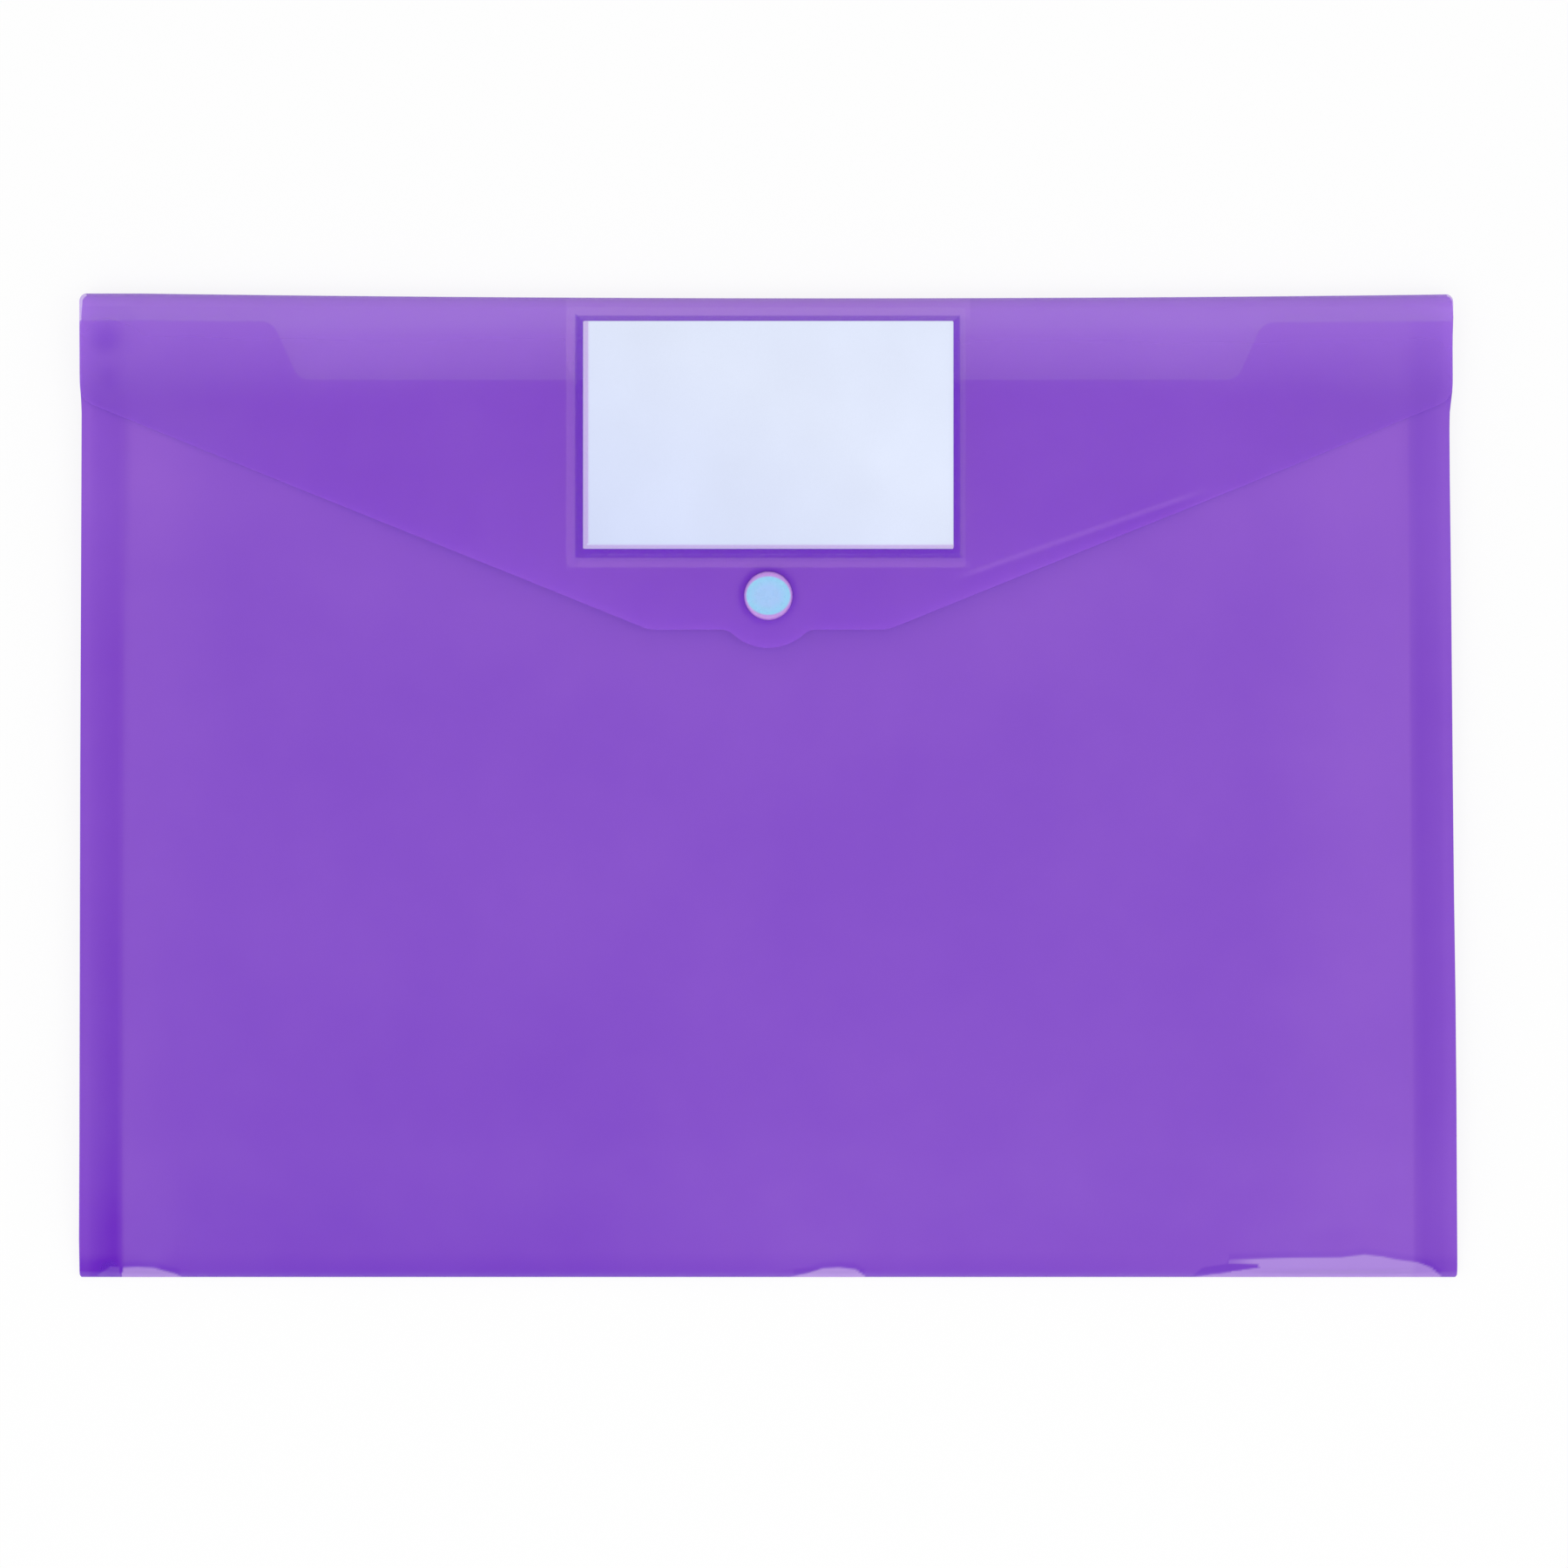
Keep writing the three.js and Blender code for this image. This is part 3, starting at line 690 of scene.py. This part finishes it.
def pocket_film():
    """Clear film welded to the flap on three sides, draped over the card and open at its right end."""
    left = pocket_low.x - POCKET_LEFT_REACH
    below = pocket_low.y - POCKET_LOWER_REACH
    right, above = pocket_high.x, pocket_high.y
    middle = (below + above) / 2

    def edge(y):
        return rounded_path([
            (left, middle, 0),
            (left, y, CORNER_RADIUS),
            (right, y, CORNER_RADIUS / 3),
            (right, middle, 0),
        ])

    def fine(low, high, margin):
        return (
            steps(low, low + margin, POCKET_EDGE_ROWS)
            + steps(low + margin, high - margin, POCKET_INNER_ROWS)
            + steps(high - margin, high, POCKET_EDGE_ROWS, last=True)
        )

    lower, upper = edge(below), edge(above)
    xs = fine(left, right, POCKET_EDGE_WIDTH)
    shares = fine(0, 1, POCKET_EDGE_SHARE)
    floor = flap_high.z + POCKET_FILM / 2 + POCKET_FLOOR_GAP
    roof = card_high.z + POCKET_FILM / 2 + POCKET_ROOF_GAP
    columns, weld, step, lip = [], [], [], []
    for x in xs:
        bottom, top = height_of(lower, x), height_of(upper, x)
        points, welds, dark, pink = [], [], [], []
        for share in shares:
            y = bottom + (top - bottom) * share
            inset = min(x - left, y - below, above - y)
            lift = smooth(POCKET_WELD, POCKET_WELD + POCKET_RISE, inset)
            bulge = POCKET_BULGE * (1 + wave(x, y, *POCKET_BULGE_FORM)) * lift
            gape = POCKET_GAPE * smooth(right - POCKET_GAPE_REACH, right, x) * lift
            past = max(0.0, y - FLAP_BEND_Y)
            drop = UPPER_BEND_RADIUS - math.sqrt(UPPER_BEND_RADIUS**2 - past**2)
            z = floor + (roof - floor) * lift + bulge + gape - drop
            points.append(settle((x, y, float(z))))
            place = Vector(points[-1])
            gaps = [*(card_low - place).xy / MM, *(place - card_high).xy / MM]
            outside = max(gaps)
            reach, depth = CARD_SHADOW_SIDES[gaps.index(outside)]
            welds.append(float(smooth(POCKET_WELD, POCKET_WELD / 2, inset) * smooth(0, 4 * MM, above - y)))
            # The card's painted shadow on the pocket film beside it
            dark.append(depth * float(smooth(-0.1, 0.25, outside) * smooth(reach, CARD_SHADOW_FULL, outside)))
            beside, over = (place - card_low).xy
            strip = LIP_LEFT if beside < over else LIP_BELOW
            near = min(beside, over) / MM
            pink.append(float(smooth(strip + 0.2, strip - 0.2, near) * smooth(0.1, -0.1, outside)))
        columns.append(points)
        weld.append(welds)
        step.append(dark)
        lip.append(pink)
    piece = film("pocket_film", columns, thickness=POCKET_FILM, weld=weld, step=step, lip=lip)
    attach(piece, "flap")
    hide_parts("label_pocket")
    return piece


# Snap caps

CAP_SEGMENTS = 96
CAP_POST_RADIUS = 1.2 * MM
CAP_POST_DEPTH = 0.75 * MM
CAP_FOOT_RADIUS = 0.25 * MM
CAP_EDGE_HEIGHT = 0.75 * MM
CAP_EDGE_WIDTH = 0.65 * MM
CAP_FACE = [(0.6, 0.03 * MM), (0.25, 0.05 * MM)]  # its shallow hollow: share of the radius, depth


def turned(name, profile, facing):
    """A turned piece from [radius, height over the film] pairs, from its foot to its top."""
    rings = []
    for radius, height in profile:
        rings.append([
            (radius * math.cos(a), radius * math.sin(a) * facing, height * facing)
            for a in steps(0, 2 * math.pi, CAP_SEGMENTS)
        ])
    vertices = [p for ring in rings for p in ring]
    foot, top = len(vertices), len(vertices) + 1
    vertices += [(0, 0, profile[0][1] * facing), (0, 0, profile[-1][1] * facing)]
    faces = []
    for k in range(len(rings) - 1):
        for i in range(CAP_SEGMENTS):
            j = (i + 1) % CAP_SEGMENTS
            a, b = k * CAP_SEGMENTS, (k + 1) * CAP_SEGMENTS
            faces.append((a + i, a + j, b + j, b + i))
    last = (len(rings) - 1) * CAP_SEGMENTS
    for i in range(CAP_SEGMENTS):
        j = (i + 1) % CAP_SEGMENTS
        faces.append((foot, j, i))
        faces.append((top, last + i, last + j))
    mesh = bpy.data.meshes.new(name)
    mesh.from_pydata(vertices, [], faces)
    mesh.polygons.foreach_set("use_smooth", [True] * len(mesh.polygons))
    piece = bpy.data.objects.new(name, mesh)
    bpy.context.scene.collection.objects.link(piece)
    return piece


def cap_profile():
    """The cap's head over a post that runs through the film, with a soft round edge."""
    radius = (cap_high.x - cap_low.x) / 2
    height = cap_high.z - flap_high.z
    foot = CAP_FOOT_RADIUS
    profile = [(CAP_POST_RADIUS, -CAP_POST_DEPTH), (CAP_POST_RADIUS, 0), (radius - foot, 0)]
    profile += [
        (radius - foot + foot * math.sin(a), foot - foot * math.cos(a))
        for a in steps(math.pi / 8, math.pi / 2, 3, last=True)
    ]
    profile += [
        (radius - CAP_EDGE_WIDTH * (1 - math.cos(a)), height - CAP_EDGE_HEIGHT * (1 - math.sin(a)))
        for a in steps(0, math.pi / 2, 8, last=True)
    ]
    profile.append((radius - 1.0 * MM, height))
    return profile + [(radius * share, height - depth) for share, depth in CAP_FACE]


def snap_caps():
    """The button on the flap and the cap behind the front panel."""
    for name, node, body, level, facing in (
        ("flap_button", "snap_cap", "flap", flap_high.z, 1),
        ("stud_button", "snap_stud_cap", "front", front_high.z - FILM, -1),
    ):
        piece = turned(name, cap_profile(), facing)
        piece.location = (0, snap_y, level)
        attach(piece, body)
        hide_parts(node)
        piece.data.materials.append(button_plastic)


# Materials


class Nodes:
    """Builds one material's nodes around its Principled shader."""

    def __init__(self, name):
        self.material = bpy.data.materials.new(name)
        self.material.use_nodes = True
        self.tree = self.material.node_tree
        self.shader = self.tree.nodes["Principled BSDF"]

    def set(self, **values):
        for key, value in values.items():
            self.shader.inputs[key.replace("_", " ")].default_value = value

    def add(self, kind, inputs=(), **settings):
        node = self.tree.nodes.new(kind)
        for key, value in settings.items():
            setattr(node, key, value)
        for key, value in dict(inputs).items():
            if isinstance(value, bpy.types.NodeSocket):
                self.tree.links.new(value, node.inputs[key])
            else:
                node.inputs[key].default_value = value
        return node

    def to_shader(self, socket, output):
        self.tree.links.new(output, self.shader.inputs[socket])

    def rest(self):
        """Where each point is at rest, so that a pattern stays put as the piece bends."""
        return self.add("ShaderNodeAttribute", attribute_name="rest").outputs["Vector"]

    def place(self):
        """Where each point is in its own object."""
        return self.add("ShaderNodeTexCoord").outputs["Object"]

    def noise(self, vector, size, detail=2.0):
        inputs = {"Vector": vector, "Scale": 1 / size, "Detail": detail}
        return self.add("ShaderNodeTexNoise", inputs).outputs["Fac"]

    def ranged(self, value, low, high, start=0.25, end=0.75, soft=False):
        inputs = {"Value": value, "From Min": start, "From Max": end, "To Min": low, "To Max": high}
        kind = "SMOOTHSTEP" if soft else "LINEAR"
        return self.add("ShaderNodeMapRange", inputs, interpolation_type=kind).outputs["Result"]

    def math(self, operation, *values):
        """A Math node's result; more than two values are taken one after another."""
        result = values[0]
        for value in values[1:] or (0.0,):
            result = self.add("ShaderNodeMath", {0: result, 1: value}, operation=operation).outputs[0]
        return result

    def across(self, vector):
        """A vector's x and y."""
        parts = self.add("ShaderNodeSeparateXYZ", {0: vector}).outputs
        return parts["X"], parts["Y"]

    def vector(self, operation, a, b=(0, 0, 0), output="Vector"):
        return self.add("ShaderNodeVectorMath", {0: a, 1: b}, operation=operation).outputs[output]

    def mark(self, name):
        return self.add("ShaderNodeAttribute", attribute_name=name).outputs["Fac"]

    def mix(self, factor, a, b, blend="MIX", clamped=True):
        node = self.add("ShaderNodeMix", data_type="RGBA", blend_type=blend, clamp_factor=clamped)
        for index, value in ((0, factor), (6, a), (7, b)):
            if isinstance(value, bpy.types.NodeSocket):
                self.tree.links.new(value, node.inputs[index])
            else:
                node.inputs[index].default_value = value
        return node.outputs[2]

    def grey(self, value):
        inputs = {"Red": value, "Green": value, "Blue": value}
        return self.add("ShaderNodeCombineColor", inputs).outputs["Color"]

    def relief(self, vector, size, height, strength=1.0, detail=2.0):
        inputs = {"Height": self.noise(vector, size, detail), "Distance": height, "Strength": strength}
        return self.add("ShaderNodeBump", inputs).outputs["Normal"]


# The flap's film lets the most light through and the back's the least. All come to about one colour
# where they lie over each other.

FILM_PURPLE = (0.303, 0.068, 0.77, 1)
FILM_ALPHA = 0.53
BACK_PURPLE = (0.28, 0.056, 0.725, 1)
BACK_ALPHA = 0.6
# The pale colour of the front's painted fold highlights and of its paler gussets
FILM_PALE_AND_HIGHLIGHT = (0.555, 0.32, 0.92, 1)
FLAP_PURPLE = (0.345, 0.096, 0.825, 1)
FLAP_ALPHA = 0.4
# FLAP_PALE colours the flap's painted light at its fold and above the card, and its paler weld lines
FLAP_PALE = (0.493, 0.207, 0.945, 1)
DULL_PURPLE = (0.27, 0.16, 0.62, 1)
DEEPER = (0.905, 0.756, 0.976)

# The floor is tinted under the film. This painted light gives the front back what that takes from its
# colour.
BACK_GLOW = (0.0166, 0.0314, 0, 1)

# Noise that mottles the film: its size, and the most it adds to the tone or takes from it
MOTTLES = ((40 * MM, 0.35), (10 * MM, 0.12))
FILM_ROUGHNESS = (0.32, 0.42)
FILM_RELIEF = (18 * MM, 0.1 * MM)  # its size and its height


def film_material(name, purple, pale, alpha, extra_tones=None, extra_pales=None):
    """Film whose marks make it deeper or paler (tone), duller, whiter (pale) and lighter (glow), partly as
    painted light.
    """
    nodes = Nodes(name)
    rest = nodes.rest()
    tones = [nodes.mark("tone")]
    tones += [nodes.ranged(nodes.noise(rest, size), -most, most) for size, most in MOTTLES]
    if extra_tones is not None:
        tones += extra_tones(nodes, rest)
    deep = tuple(p * d for p, d in zip(purple, DEEPER)) + (1,)
    toned = nodes.mix(nodes.math("ADD", *tones), purple, deep, clamped=False)
    dulled = nodes.mix(nodes.mark("dull"), toned, DULL_PURPLE)
    pales = [nodes.mark("pale")]
    if extra_pales is not None:
        pales += extra_pales(nodes, rest)
    painted = nodes.mix(nodes.math("ADD", *pales), dulled, pale, clamped=False)
    nodes.to_shader("Base Color", nodes.mix(nodes.mark("glow"), painted, BACK_GLOW, "ADD"))
    nodes.to_shader("Roughness", nodes.ranged(nodes.noise(rest, 14 * MM), *FILM_ROUGHNESS))
    nodes.to_shader("Normal", nodes.relief(rest, *FILM_RELIEF))
    nodes.set(Alpha=alpha, IOR=1.49, Specular_IOR_Level=0.25)
    return nodes.material


# A painted highlight line inside the flap's right slope, with painted shade below it, runs through these two
# places
HIGHLIGHT_LINE_START = (47.2 * MM, 50.3 * MM)
HIGHLIGHT_LINE_END = (101.1 * MM, 69.4 * MM)
HIGHLIGHT_LINE_TONE = -2.0
BELOW_LINE_SHADE_TONE = 0.5

# The painted shadow round the button is deeper at its upper left than at its lower right
BUTTON_SHADOW_INNER = 6.2 * MM
BUTTON_SHADOW_OUTER = 8.0 * MM
BUTTON_SHADOW_TONES = (1.2, 3.2)
BUTTON_SHADOW_TURN = (-0.6, 0.8, 0)


def flap_tones(nodes, rest):
    """A painted highlight line over painted shade in the flap's right slope, and a painted shadow round the
    button.
    """
    along = (Vector(HIGHLIGHT_LINE_END) - Vector(HIGHLIGHT_LINE_START)).normalized()
    over = Vector((-along.y, along.x, 0))
    offset = over.xy.dot(Vector(HIGHLIGHT_LINE_START))
    height = nodes.math("SUBTRACT", nodes.vector("DOT_PRODUCT", rest, over, "Value"), offset)
    line = nodes.ranged(nodes.math("ABSOLUTE", height), HIGHLIGHT_LINE_TONE, 0, 0.2 * MM, 1.0 * MM, soft=True)
    below = nodes.math(
        "MULTIPLY",
        nodes.ranged(height, BELOW_LINE_SHADE_TONE, 0, -1.0 * MM, 0.5 * MM, soft=True),
        nodes.ranged(height, 0, 1, -6 * MM, -2 * MM, soft=True),
    )
    x, _ = nodes.across(rest)
    window = nodes.math(
        "MULTIPLY",
        nodes.ranged(x, 0, 1, 44 * MM, 50 * MM),
        nodes.ranged(x, 1, 0, 98 * MM, 106 * MM),
    )
    highlight_and_shade = nodes.math("MULTIPLY", nodes.math("ADD", line, below), window)
    away = nodes.vector("MULTIPLY", nodes.vector("SUBTRACT", rest, (0, snap_y, 0)), (1, 1, 0))
    distance = nodes.vector("LENGTH", away, output="Value")
    turn = nodes.vector("DOT_PRODUCT", away, BUTTON_SHADOW_TURN, "Value")
    side = nodes.ranged(turn, *BUTTON_SHADOW_TONES, -7 * MM, 7 * MM)
    # A painted shadow in a ring round the button
    ring = nodes.math("MULTIPLY", nodes.ranged(distance, 1, 0, BUTTON_SHADOW_INNER, BUTTON_SHADOW_OUTER, soft=True), side)
    return [highlight_and_shade, ring]


# Where the pocket's welds show: from the card's left, right and lower edge, [start, end, how pale]
WELD_LEFT = (1.8 * MM, 4.1 * MM, 0.28)
WELD_RIGHT = (1.6 * MM, 4.0 * MM, 0.06)
WELD_BELOW = (2.9 * MM, 4.6 * MM, 0.3)
WELD_SOFT = 0.4 * MM
# The paler strip above the card is painted light, against the card's shadow on the film under it
ABOVE_CARD_PAINTED_LIGHT = 0.3


def band(nodes, value, start, end, soft):
    """1 between two values and 0 outside them, with soft sides."""
    rise = nodes.ranged(value, 0, 1, start - soft, start + soft, soft=True)
    fall = nodes.ranged(value, 1, 0, end - soft, end + soft, soft=True)
    return nodes.math("MULTIPLY", rise, fall)


def flap_pales(nodes, rest):
    """Paler lines where the clear pocket is welded on, and a paler strip of painted light above the card."""
    x, y = nodes.across(rest)
    upright = band(nodes, y, card_low.y - WELD_BELOW[1], card_high.y, WELD_SOFT)
    level = band(nodes, x, card_low.x - WELD_LEFT[1], card_high.x + WELD_RIGHT[1], WELD_SOFT)
    lines = []
    for (start, end, share), gap, window in (
        (WELD_LEFT, nodes.math("SUBTRACT", card_low.x, x), upright),
        (WELD_RIGHT, nodes.math("SUBTRACT", x, card_high.x), upright),
        (WELD_BELOW, nodes.math("SUBTRACT", card_low.y, y), level),
    ):
        lines.append(nodes.math("MULTIPLY", band(nodes, gap, start, end, WELD_SOFT), window, share))
    above = nodes.ranged(y, 0, ABOVE_CARD_PAINTED_LIGHT, card_high.y - 0.5 * MM, card_high.y + 1.5 * MM, soft=True)
    lines.append(nodes.math("MULTIPLY", above, level))
    return [nodes.math("MAXIMUM", *lines)]


CLEAR_TINT = (0.95, 0.8, 1, 1)
WELD_TINT = (1, 0.6, 1, 1)
CARD_SHADOW_TINT = (0.207, 0.015, 0.75, 1)
CARD_SHADOW_TINT_GAIN = 4  # how much faster the painted shadow's colour comes in than its opacity
LIP_TINT = (0.7, 0.36, 0.84, 1)
CLEAR_ALPHA = 0.015
WELD_ALPHA = 0.01
CARD_SHADOW_ALPHA = 0.28
LIP_ALPHA = 0.2
CLEAR_ROUGHNESS = (0.08, 0.2)
CLEAR_RELIEF = (9 * MM, 0.06 * MM)


def clear_film_material():
    """Clear film: hazier along its welds, with the card's painted shadow beside it, pinkish on the card's
    edge.
    """
    nodes = Nodes("clear_film")
    rest = nodes.rest()
    tint = nodes.mix(nodes.mark("weld"), CLEAR_TINT, WELD_TINT)
    tint = nodes.mix(nodes.math("MULTIPLY", nodes.mark("step"), CARD_SHADOW_TINT_GAIN), tint, CARD_SHADOW_TINT)
    tint = nodes.mix(nodes.mark("lip"), tint, LIP_TINT)
    nodes.to_shader("Base Color", tint)
    shares = [
        nodes.math("MULTIPLY", nodes.mark(mark), alpha)
        for mark, alpha in (("weld", WELD_ALPHA), ("step", CARD_SHADOW_ALPHA), ("lip", LIP_ALPHA))
    ]
    nodes.to_shader("Alpha", nodes.math("ADD", CLEAR_ALPHA, *shares))
    nodes.to_shader("Roughness", nodes.ranged(nodes.noise(rest, 6 * MM), *CLEAR_ROUGHNESS))
    nodes.to_shader("Normal", nodes.relief(rest, *CLEAR_RELIEF))
    nodes.set(IOR=1.5)
    return nodes.material


CARD_LOWER_LEFT = (0.66, 0.735, 0.965, 1)
CARD_UPPER_RIGHT = (0.77, 0.84, 1.0, 1)
CARD_TURN = 0.85
CARD_CLOUDS = (0.97, 1.03)
CARD_FLECKS = (0.985, 1.01)
CARD_RELIEF = (0.25 * MM, 0.01 * MM, 0.6, 5)  # its size, height, strength and detail


def card_material():
    """Matt card, faintly clouded and flecked, a little deeper towards its lower left."""
    nodes = Nodes("white_card")
    place = nodes.place()
    shade = nodes.ranged(nodes.noise(place, 25 * MM), *CARD_CLOUDS)
    fleck = nodes.ranged(nodes.noise(place, 0.4 * MM, 4), *CARD_FLECKS)
    x, y = nodes.across(place)
    corner = nodes.math(
        "ADD",
        nodes.ranged(x, 0, CARD_TURN, card_low.x, card_high.x),
        nodes.ranged(y, 0, CARD_TURN, card_low.y, card_high.y),
    )
    tint = nodes.mix(corner, CARD_LOWER_LEFT, CARD_UPPER_RIGHT)
    paper = nodes.mix(1.0, tint, nodes.grey(shade), "MULTIPLY")
    nodes.to_shader("Base Color", nodes.mix(1.0, paper, nodes.grey(fleck), "MULTIPLY"))
    nodes.to_shader("Normal", nodes.relief(place, *CARD_RELIEF))
    nodes.set(Roughness=0.7, Specular_IOR_Level=0.25)
    return nodes.material


BUTTON_CENTRE = (0.355, 0.575, 0.92, 1)
BUTTON_EDGE = (0.285, 0.625, 0.89, 1)
# The rim's purple is a painted reflection of the purple film in the cap's bevel
BUTTON_RIM = (0.52, 0.26, 0.75, 1)
RIM_FLATTENING = 1.15
BUTTON_MIDDLE = (0.45, 0.85)  # shares of its radius over which the middle's colour turns into the edge's
BUTTON_RIM_START = (0.87, 0.95)
SNAP_ROUGHNESS = (0.22, 0.34)
SNAP_RELIEF = (0.6 * MM, 0.01 * MM, 0.5)  # its size, height and strength


def moulded(nodes, place, colour):
    """Moulded plastic of that colour, glossy, a little uneven and with some light inside it."""
    nodes.to_shader("Base Color", colour)
    nodes.to_shader("Roughness", nodes.ranged(nodes.noise(place, 1.5 * MM), *SNAP_ROUGHNESS))
    nodes.to_shader("Normal", nodes.relief(place, *SNAP_RELIEF))
    nodes.set(IOR=1.5, Subsurface_Weight=0.2, Subsurface_Scale=0.4 * MM)
    return nodes.material


def button_material():
    """A colour that runs from the middle of the cap to a purple rim of painted reflection, broader above and
    below.
    """
    nodes = Nodes("button_plastic")
    place = nodes.place()
    radius = (cap_high.x - cap_low.x) / 2
    away = nodes.vector("LENGTH", nodes.vector("MULTIPLY", place, (1, RIM_FLATTENING, 0)), output="Value")
    edge = nodes.ranged(away, 0, 1, *[share * radius for share in BUTTON_MIDDLE])
    toned = nodes.mix(edge, BUTTON_CENTRE, BUTTON_EDGE)
    rim = nodes.ranged(away, 0, 1, *[share * radius for share in BUTTON_RIM_START])
    return moulded(nodes, place, nodes.mix(rim, toned, BUTTON_RIM))


def snap_material():
    """The button's two blues without its rim, for the pieces that the flap hides."""
    nodes = Nodes("snap_plastic")
    place = nodes.place()
    return moulded(nodes, place, nodes.mix(nodes.noise(place, 3 * MM), BUTTON_CENTRE, BUTTON_EDGE))


purple_film = film_material("purple_film", FILM_PURPLE, FILM_PALE_AND_HIGHLIGHT, FILM_ALPHA)
back_purple_film = film_material("back_purple_film", BACK_PURPLE, FILM_PALE_AND_HIGHLIGHT, BACK_ALPHA)
flap_purple_film = film_material(
    "flap_purple_film", FLAP_PURPLE, FLAP_PALE, FLAP_ALPHA, flap_tones, flap_pales
)
button_plastic = button_material()
snap_plastic = snap_material()
white_card = card_material()

for node, material in (
    ("label_card", white_card),
    ("snap_socket", snap_plastic),
    ("snap_stud", snap_plastic),
):
    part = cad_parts[node]
    part.data.materials.clear()
    part.data.materials.append(material)

for piece, material in (
    (back_film(), back_purple_film),
    (front_film(), purple_film),
    (flap_film(), flap_purple_film),
    (gusset_film("left_gusset_film", "left_gusset", -1), purple_film),
    (gusset_film("right_gusset_film", "right_gusset", 1), purple_film),
):
    piece.data.materials.append(material)
pocket_film().data.materials.append(clear_film_material())
snap_caps()

# Stage, light and camera

SHADOW_SHARE = 0.16
AMBIENT = 0.62
WHITE = (1, 1, 1, 1)
UNDER_FILM = (0.62, 0.28, 1, 1)
MOUTH_SHARE = 0.4
FLOOR_HALF = 6
FLOOR_LEVEL = -0.4 * MM


def stage_floor():
    """A white floor that shows a purple tint under the envelope, where its light comes through the film."""
    mesh = bpy.data.meshes.new("floor")
    sides = [(-1, -1), (1, -1), (1, 1), (-1, 1)]
    mesh.from_pydata([(FLOOR_HALF * x, FLOOR_HALF * y, FLOOR_LEVEL) for x, y in sides], [], [(0, 1, 2, 3)])
    floor = bpy.data.objects.new("floor", mesh)
    bpy.context.scene.collection.objects.link(floor)
    nodes = Nodes("floor")
    nodes.set(Base_Color=(0.98, 0.98, 0.98, 1), Roughness=0.9, Specular_IOR_Level=0.0)
    path = nodes.add("ShaderNodeLightPath").outputs
    seen = nodes.math("MAXIMUM", path["Is Camera Ray"], path["Is Glossy Ray"], path["Is Transmission Ray"])
    share = nodes.math("MULTIPLY", seen, 1 - SHADOW_SHARE)
    x, y = nodes.across(nodes.place())
    side = nodes.math("ABSOLUTE", x)
    under = nodes.math(
        "MULTIPLY",
        nodes.ranged(side, 1, 0, half_width - 7 * MM, half_width - 3 * MM, soft=True),
        nodes.ranged(y, 0, 1, fold_low.y + 0.5 * MM, fold_low.y + 2 * MM, soft=True),
        nodes.ranged(y, 1, MOUTH_SHARE, NOTCH_Y - 6 * MM, NOTCH_Y, soft=True),
        nodes.ranged(y, 1, 0, front_high.y - 4 * MM, front_high.y, soft=True),
    )
    tint = nodes.mix(under, WHITE, UNDER_FILM)
    shown = nodes.add("ShaderNodeEmission", {"Color": tint, "Strength": 1.0})
    mixed = nodes.add("ShaderNodeMixShader", {0: share, 1: nodes.shader.outputs[0], 2: shown.outputs[0]})
    nodes.tree.links.new(mixed.outputs[0], nodes.tree.nodes["Material Output"].inputs["Surface"])
    mesh.materials.append(nodes.material)


def world_light():
    """Even light from all round, and plain white where the camera sees past the floor."""
    world = bpy.data.worlds.new("studio")
    world.use_nodes = True
    bpy.context.scene.world = world
    tree = world.node_tree
    background = tree.nodes["Background"]
    background.inputs["Color"].default_value = WHITE
    path = tree.nodes.new("ShaderNodeLightPath")
    seen = path.outputs["Is Camera Ray"]
    for ray in ("Is Transmission Ray", "Is Glossy Ray"):
        either = tree.nodes.new("ShaderNodeMath")
        either.operation = "MAXIMUM"
        tree.links.new(seen, either.inputs[0])
        tree.links.new(path.outputs[ray], either.inputs[1])
        seen = either.outputs[0]
    level = tree.nodes.new("ShaderNodeMapRange")
    level.inputs["To Min"].default_value = AMBIENT
    level.inputs["To Max"].default_value = 1.0
    tree.links.new(seen, level.inputs["Value"])
    tree.links.new(level.outputs[0], background.inputs["Strength"])


def lamp(name, place, size, level):
    """A square soft light aimed at the envelope. Level is what it adds on a white sheet there."""
    light = bpy.data.lights.new(name, "AREA")
    light.size = size
    place = Vector(place)
    distance = place.length
    light.energy = level * math.pi**2 * distance**2 / (place.z / distance)
    holder = bpy.data.objects.new(name, light)
    holder.location = place
    holder.rotation_euler = (-place).to_track_quat("-Z", "Y").to_euler()
    holder.visible_camera = False
    bpy.context.scene.collection.objects.link(holder)


# Name, place, size and level
LAMPS = [
    ("key", (-0.45, -0.55, 1.8), 1.3, 0.243),
    ("fill", (0.75, -0.25, 1.7), 1.3, 0.175),
]

PHOTO_SIDE = 1800
PX_PER_METRE = 4784
CENTRE_PX = (882.1, 902)
LENS = 200
SENSOR = 36
TILT = math.radians(1)


def camera():
    """The photograph's view: nearly straight down, with a long lens."""
    aim = Vector((
        (PHOTO_SIDE / 2 - CENTRE_PX[0]) / PX_PER_METRE,
        (CENTRE_PX[1] - PHOTO_SIDE / 2) / PX_PER_METRE,
        0,
    ))
    distance = PHOTO_SIDE / PX_PER_METRE * LENS / SENSOR
    data = bpy.data.cameras.new("camera")
    data.lens = LENS
    data.sensor_width = SENSOR
    data.clip_end = 20
    holder = bpy.data.objects.new("camera", data)
    holder.location = aim + distance * Vector((0, -math.sin(TILT), math.cos(TILT)))
    holder.rotation_euler = (TILT, 0, 0)
    bpy.context.scene.collection.objects.link(holder)
    bpy.context.scene.camera = holder


stage_floor()
world_light()
for lamp_name, lamp_place, lamp_size, lamp_level in LAMPS:
    lamp(lamp_name, lamp_place, lamp_size, lamp_level)
camera()
bpy.context.scene.cycles.transparent_max_bounces = 32
bpy.context.scene.view_settings.view_transform = "Standard"
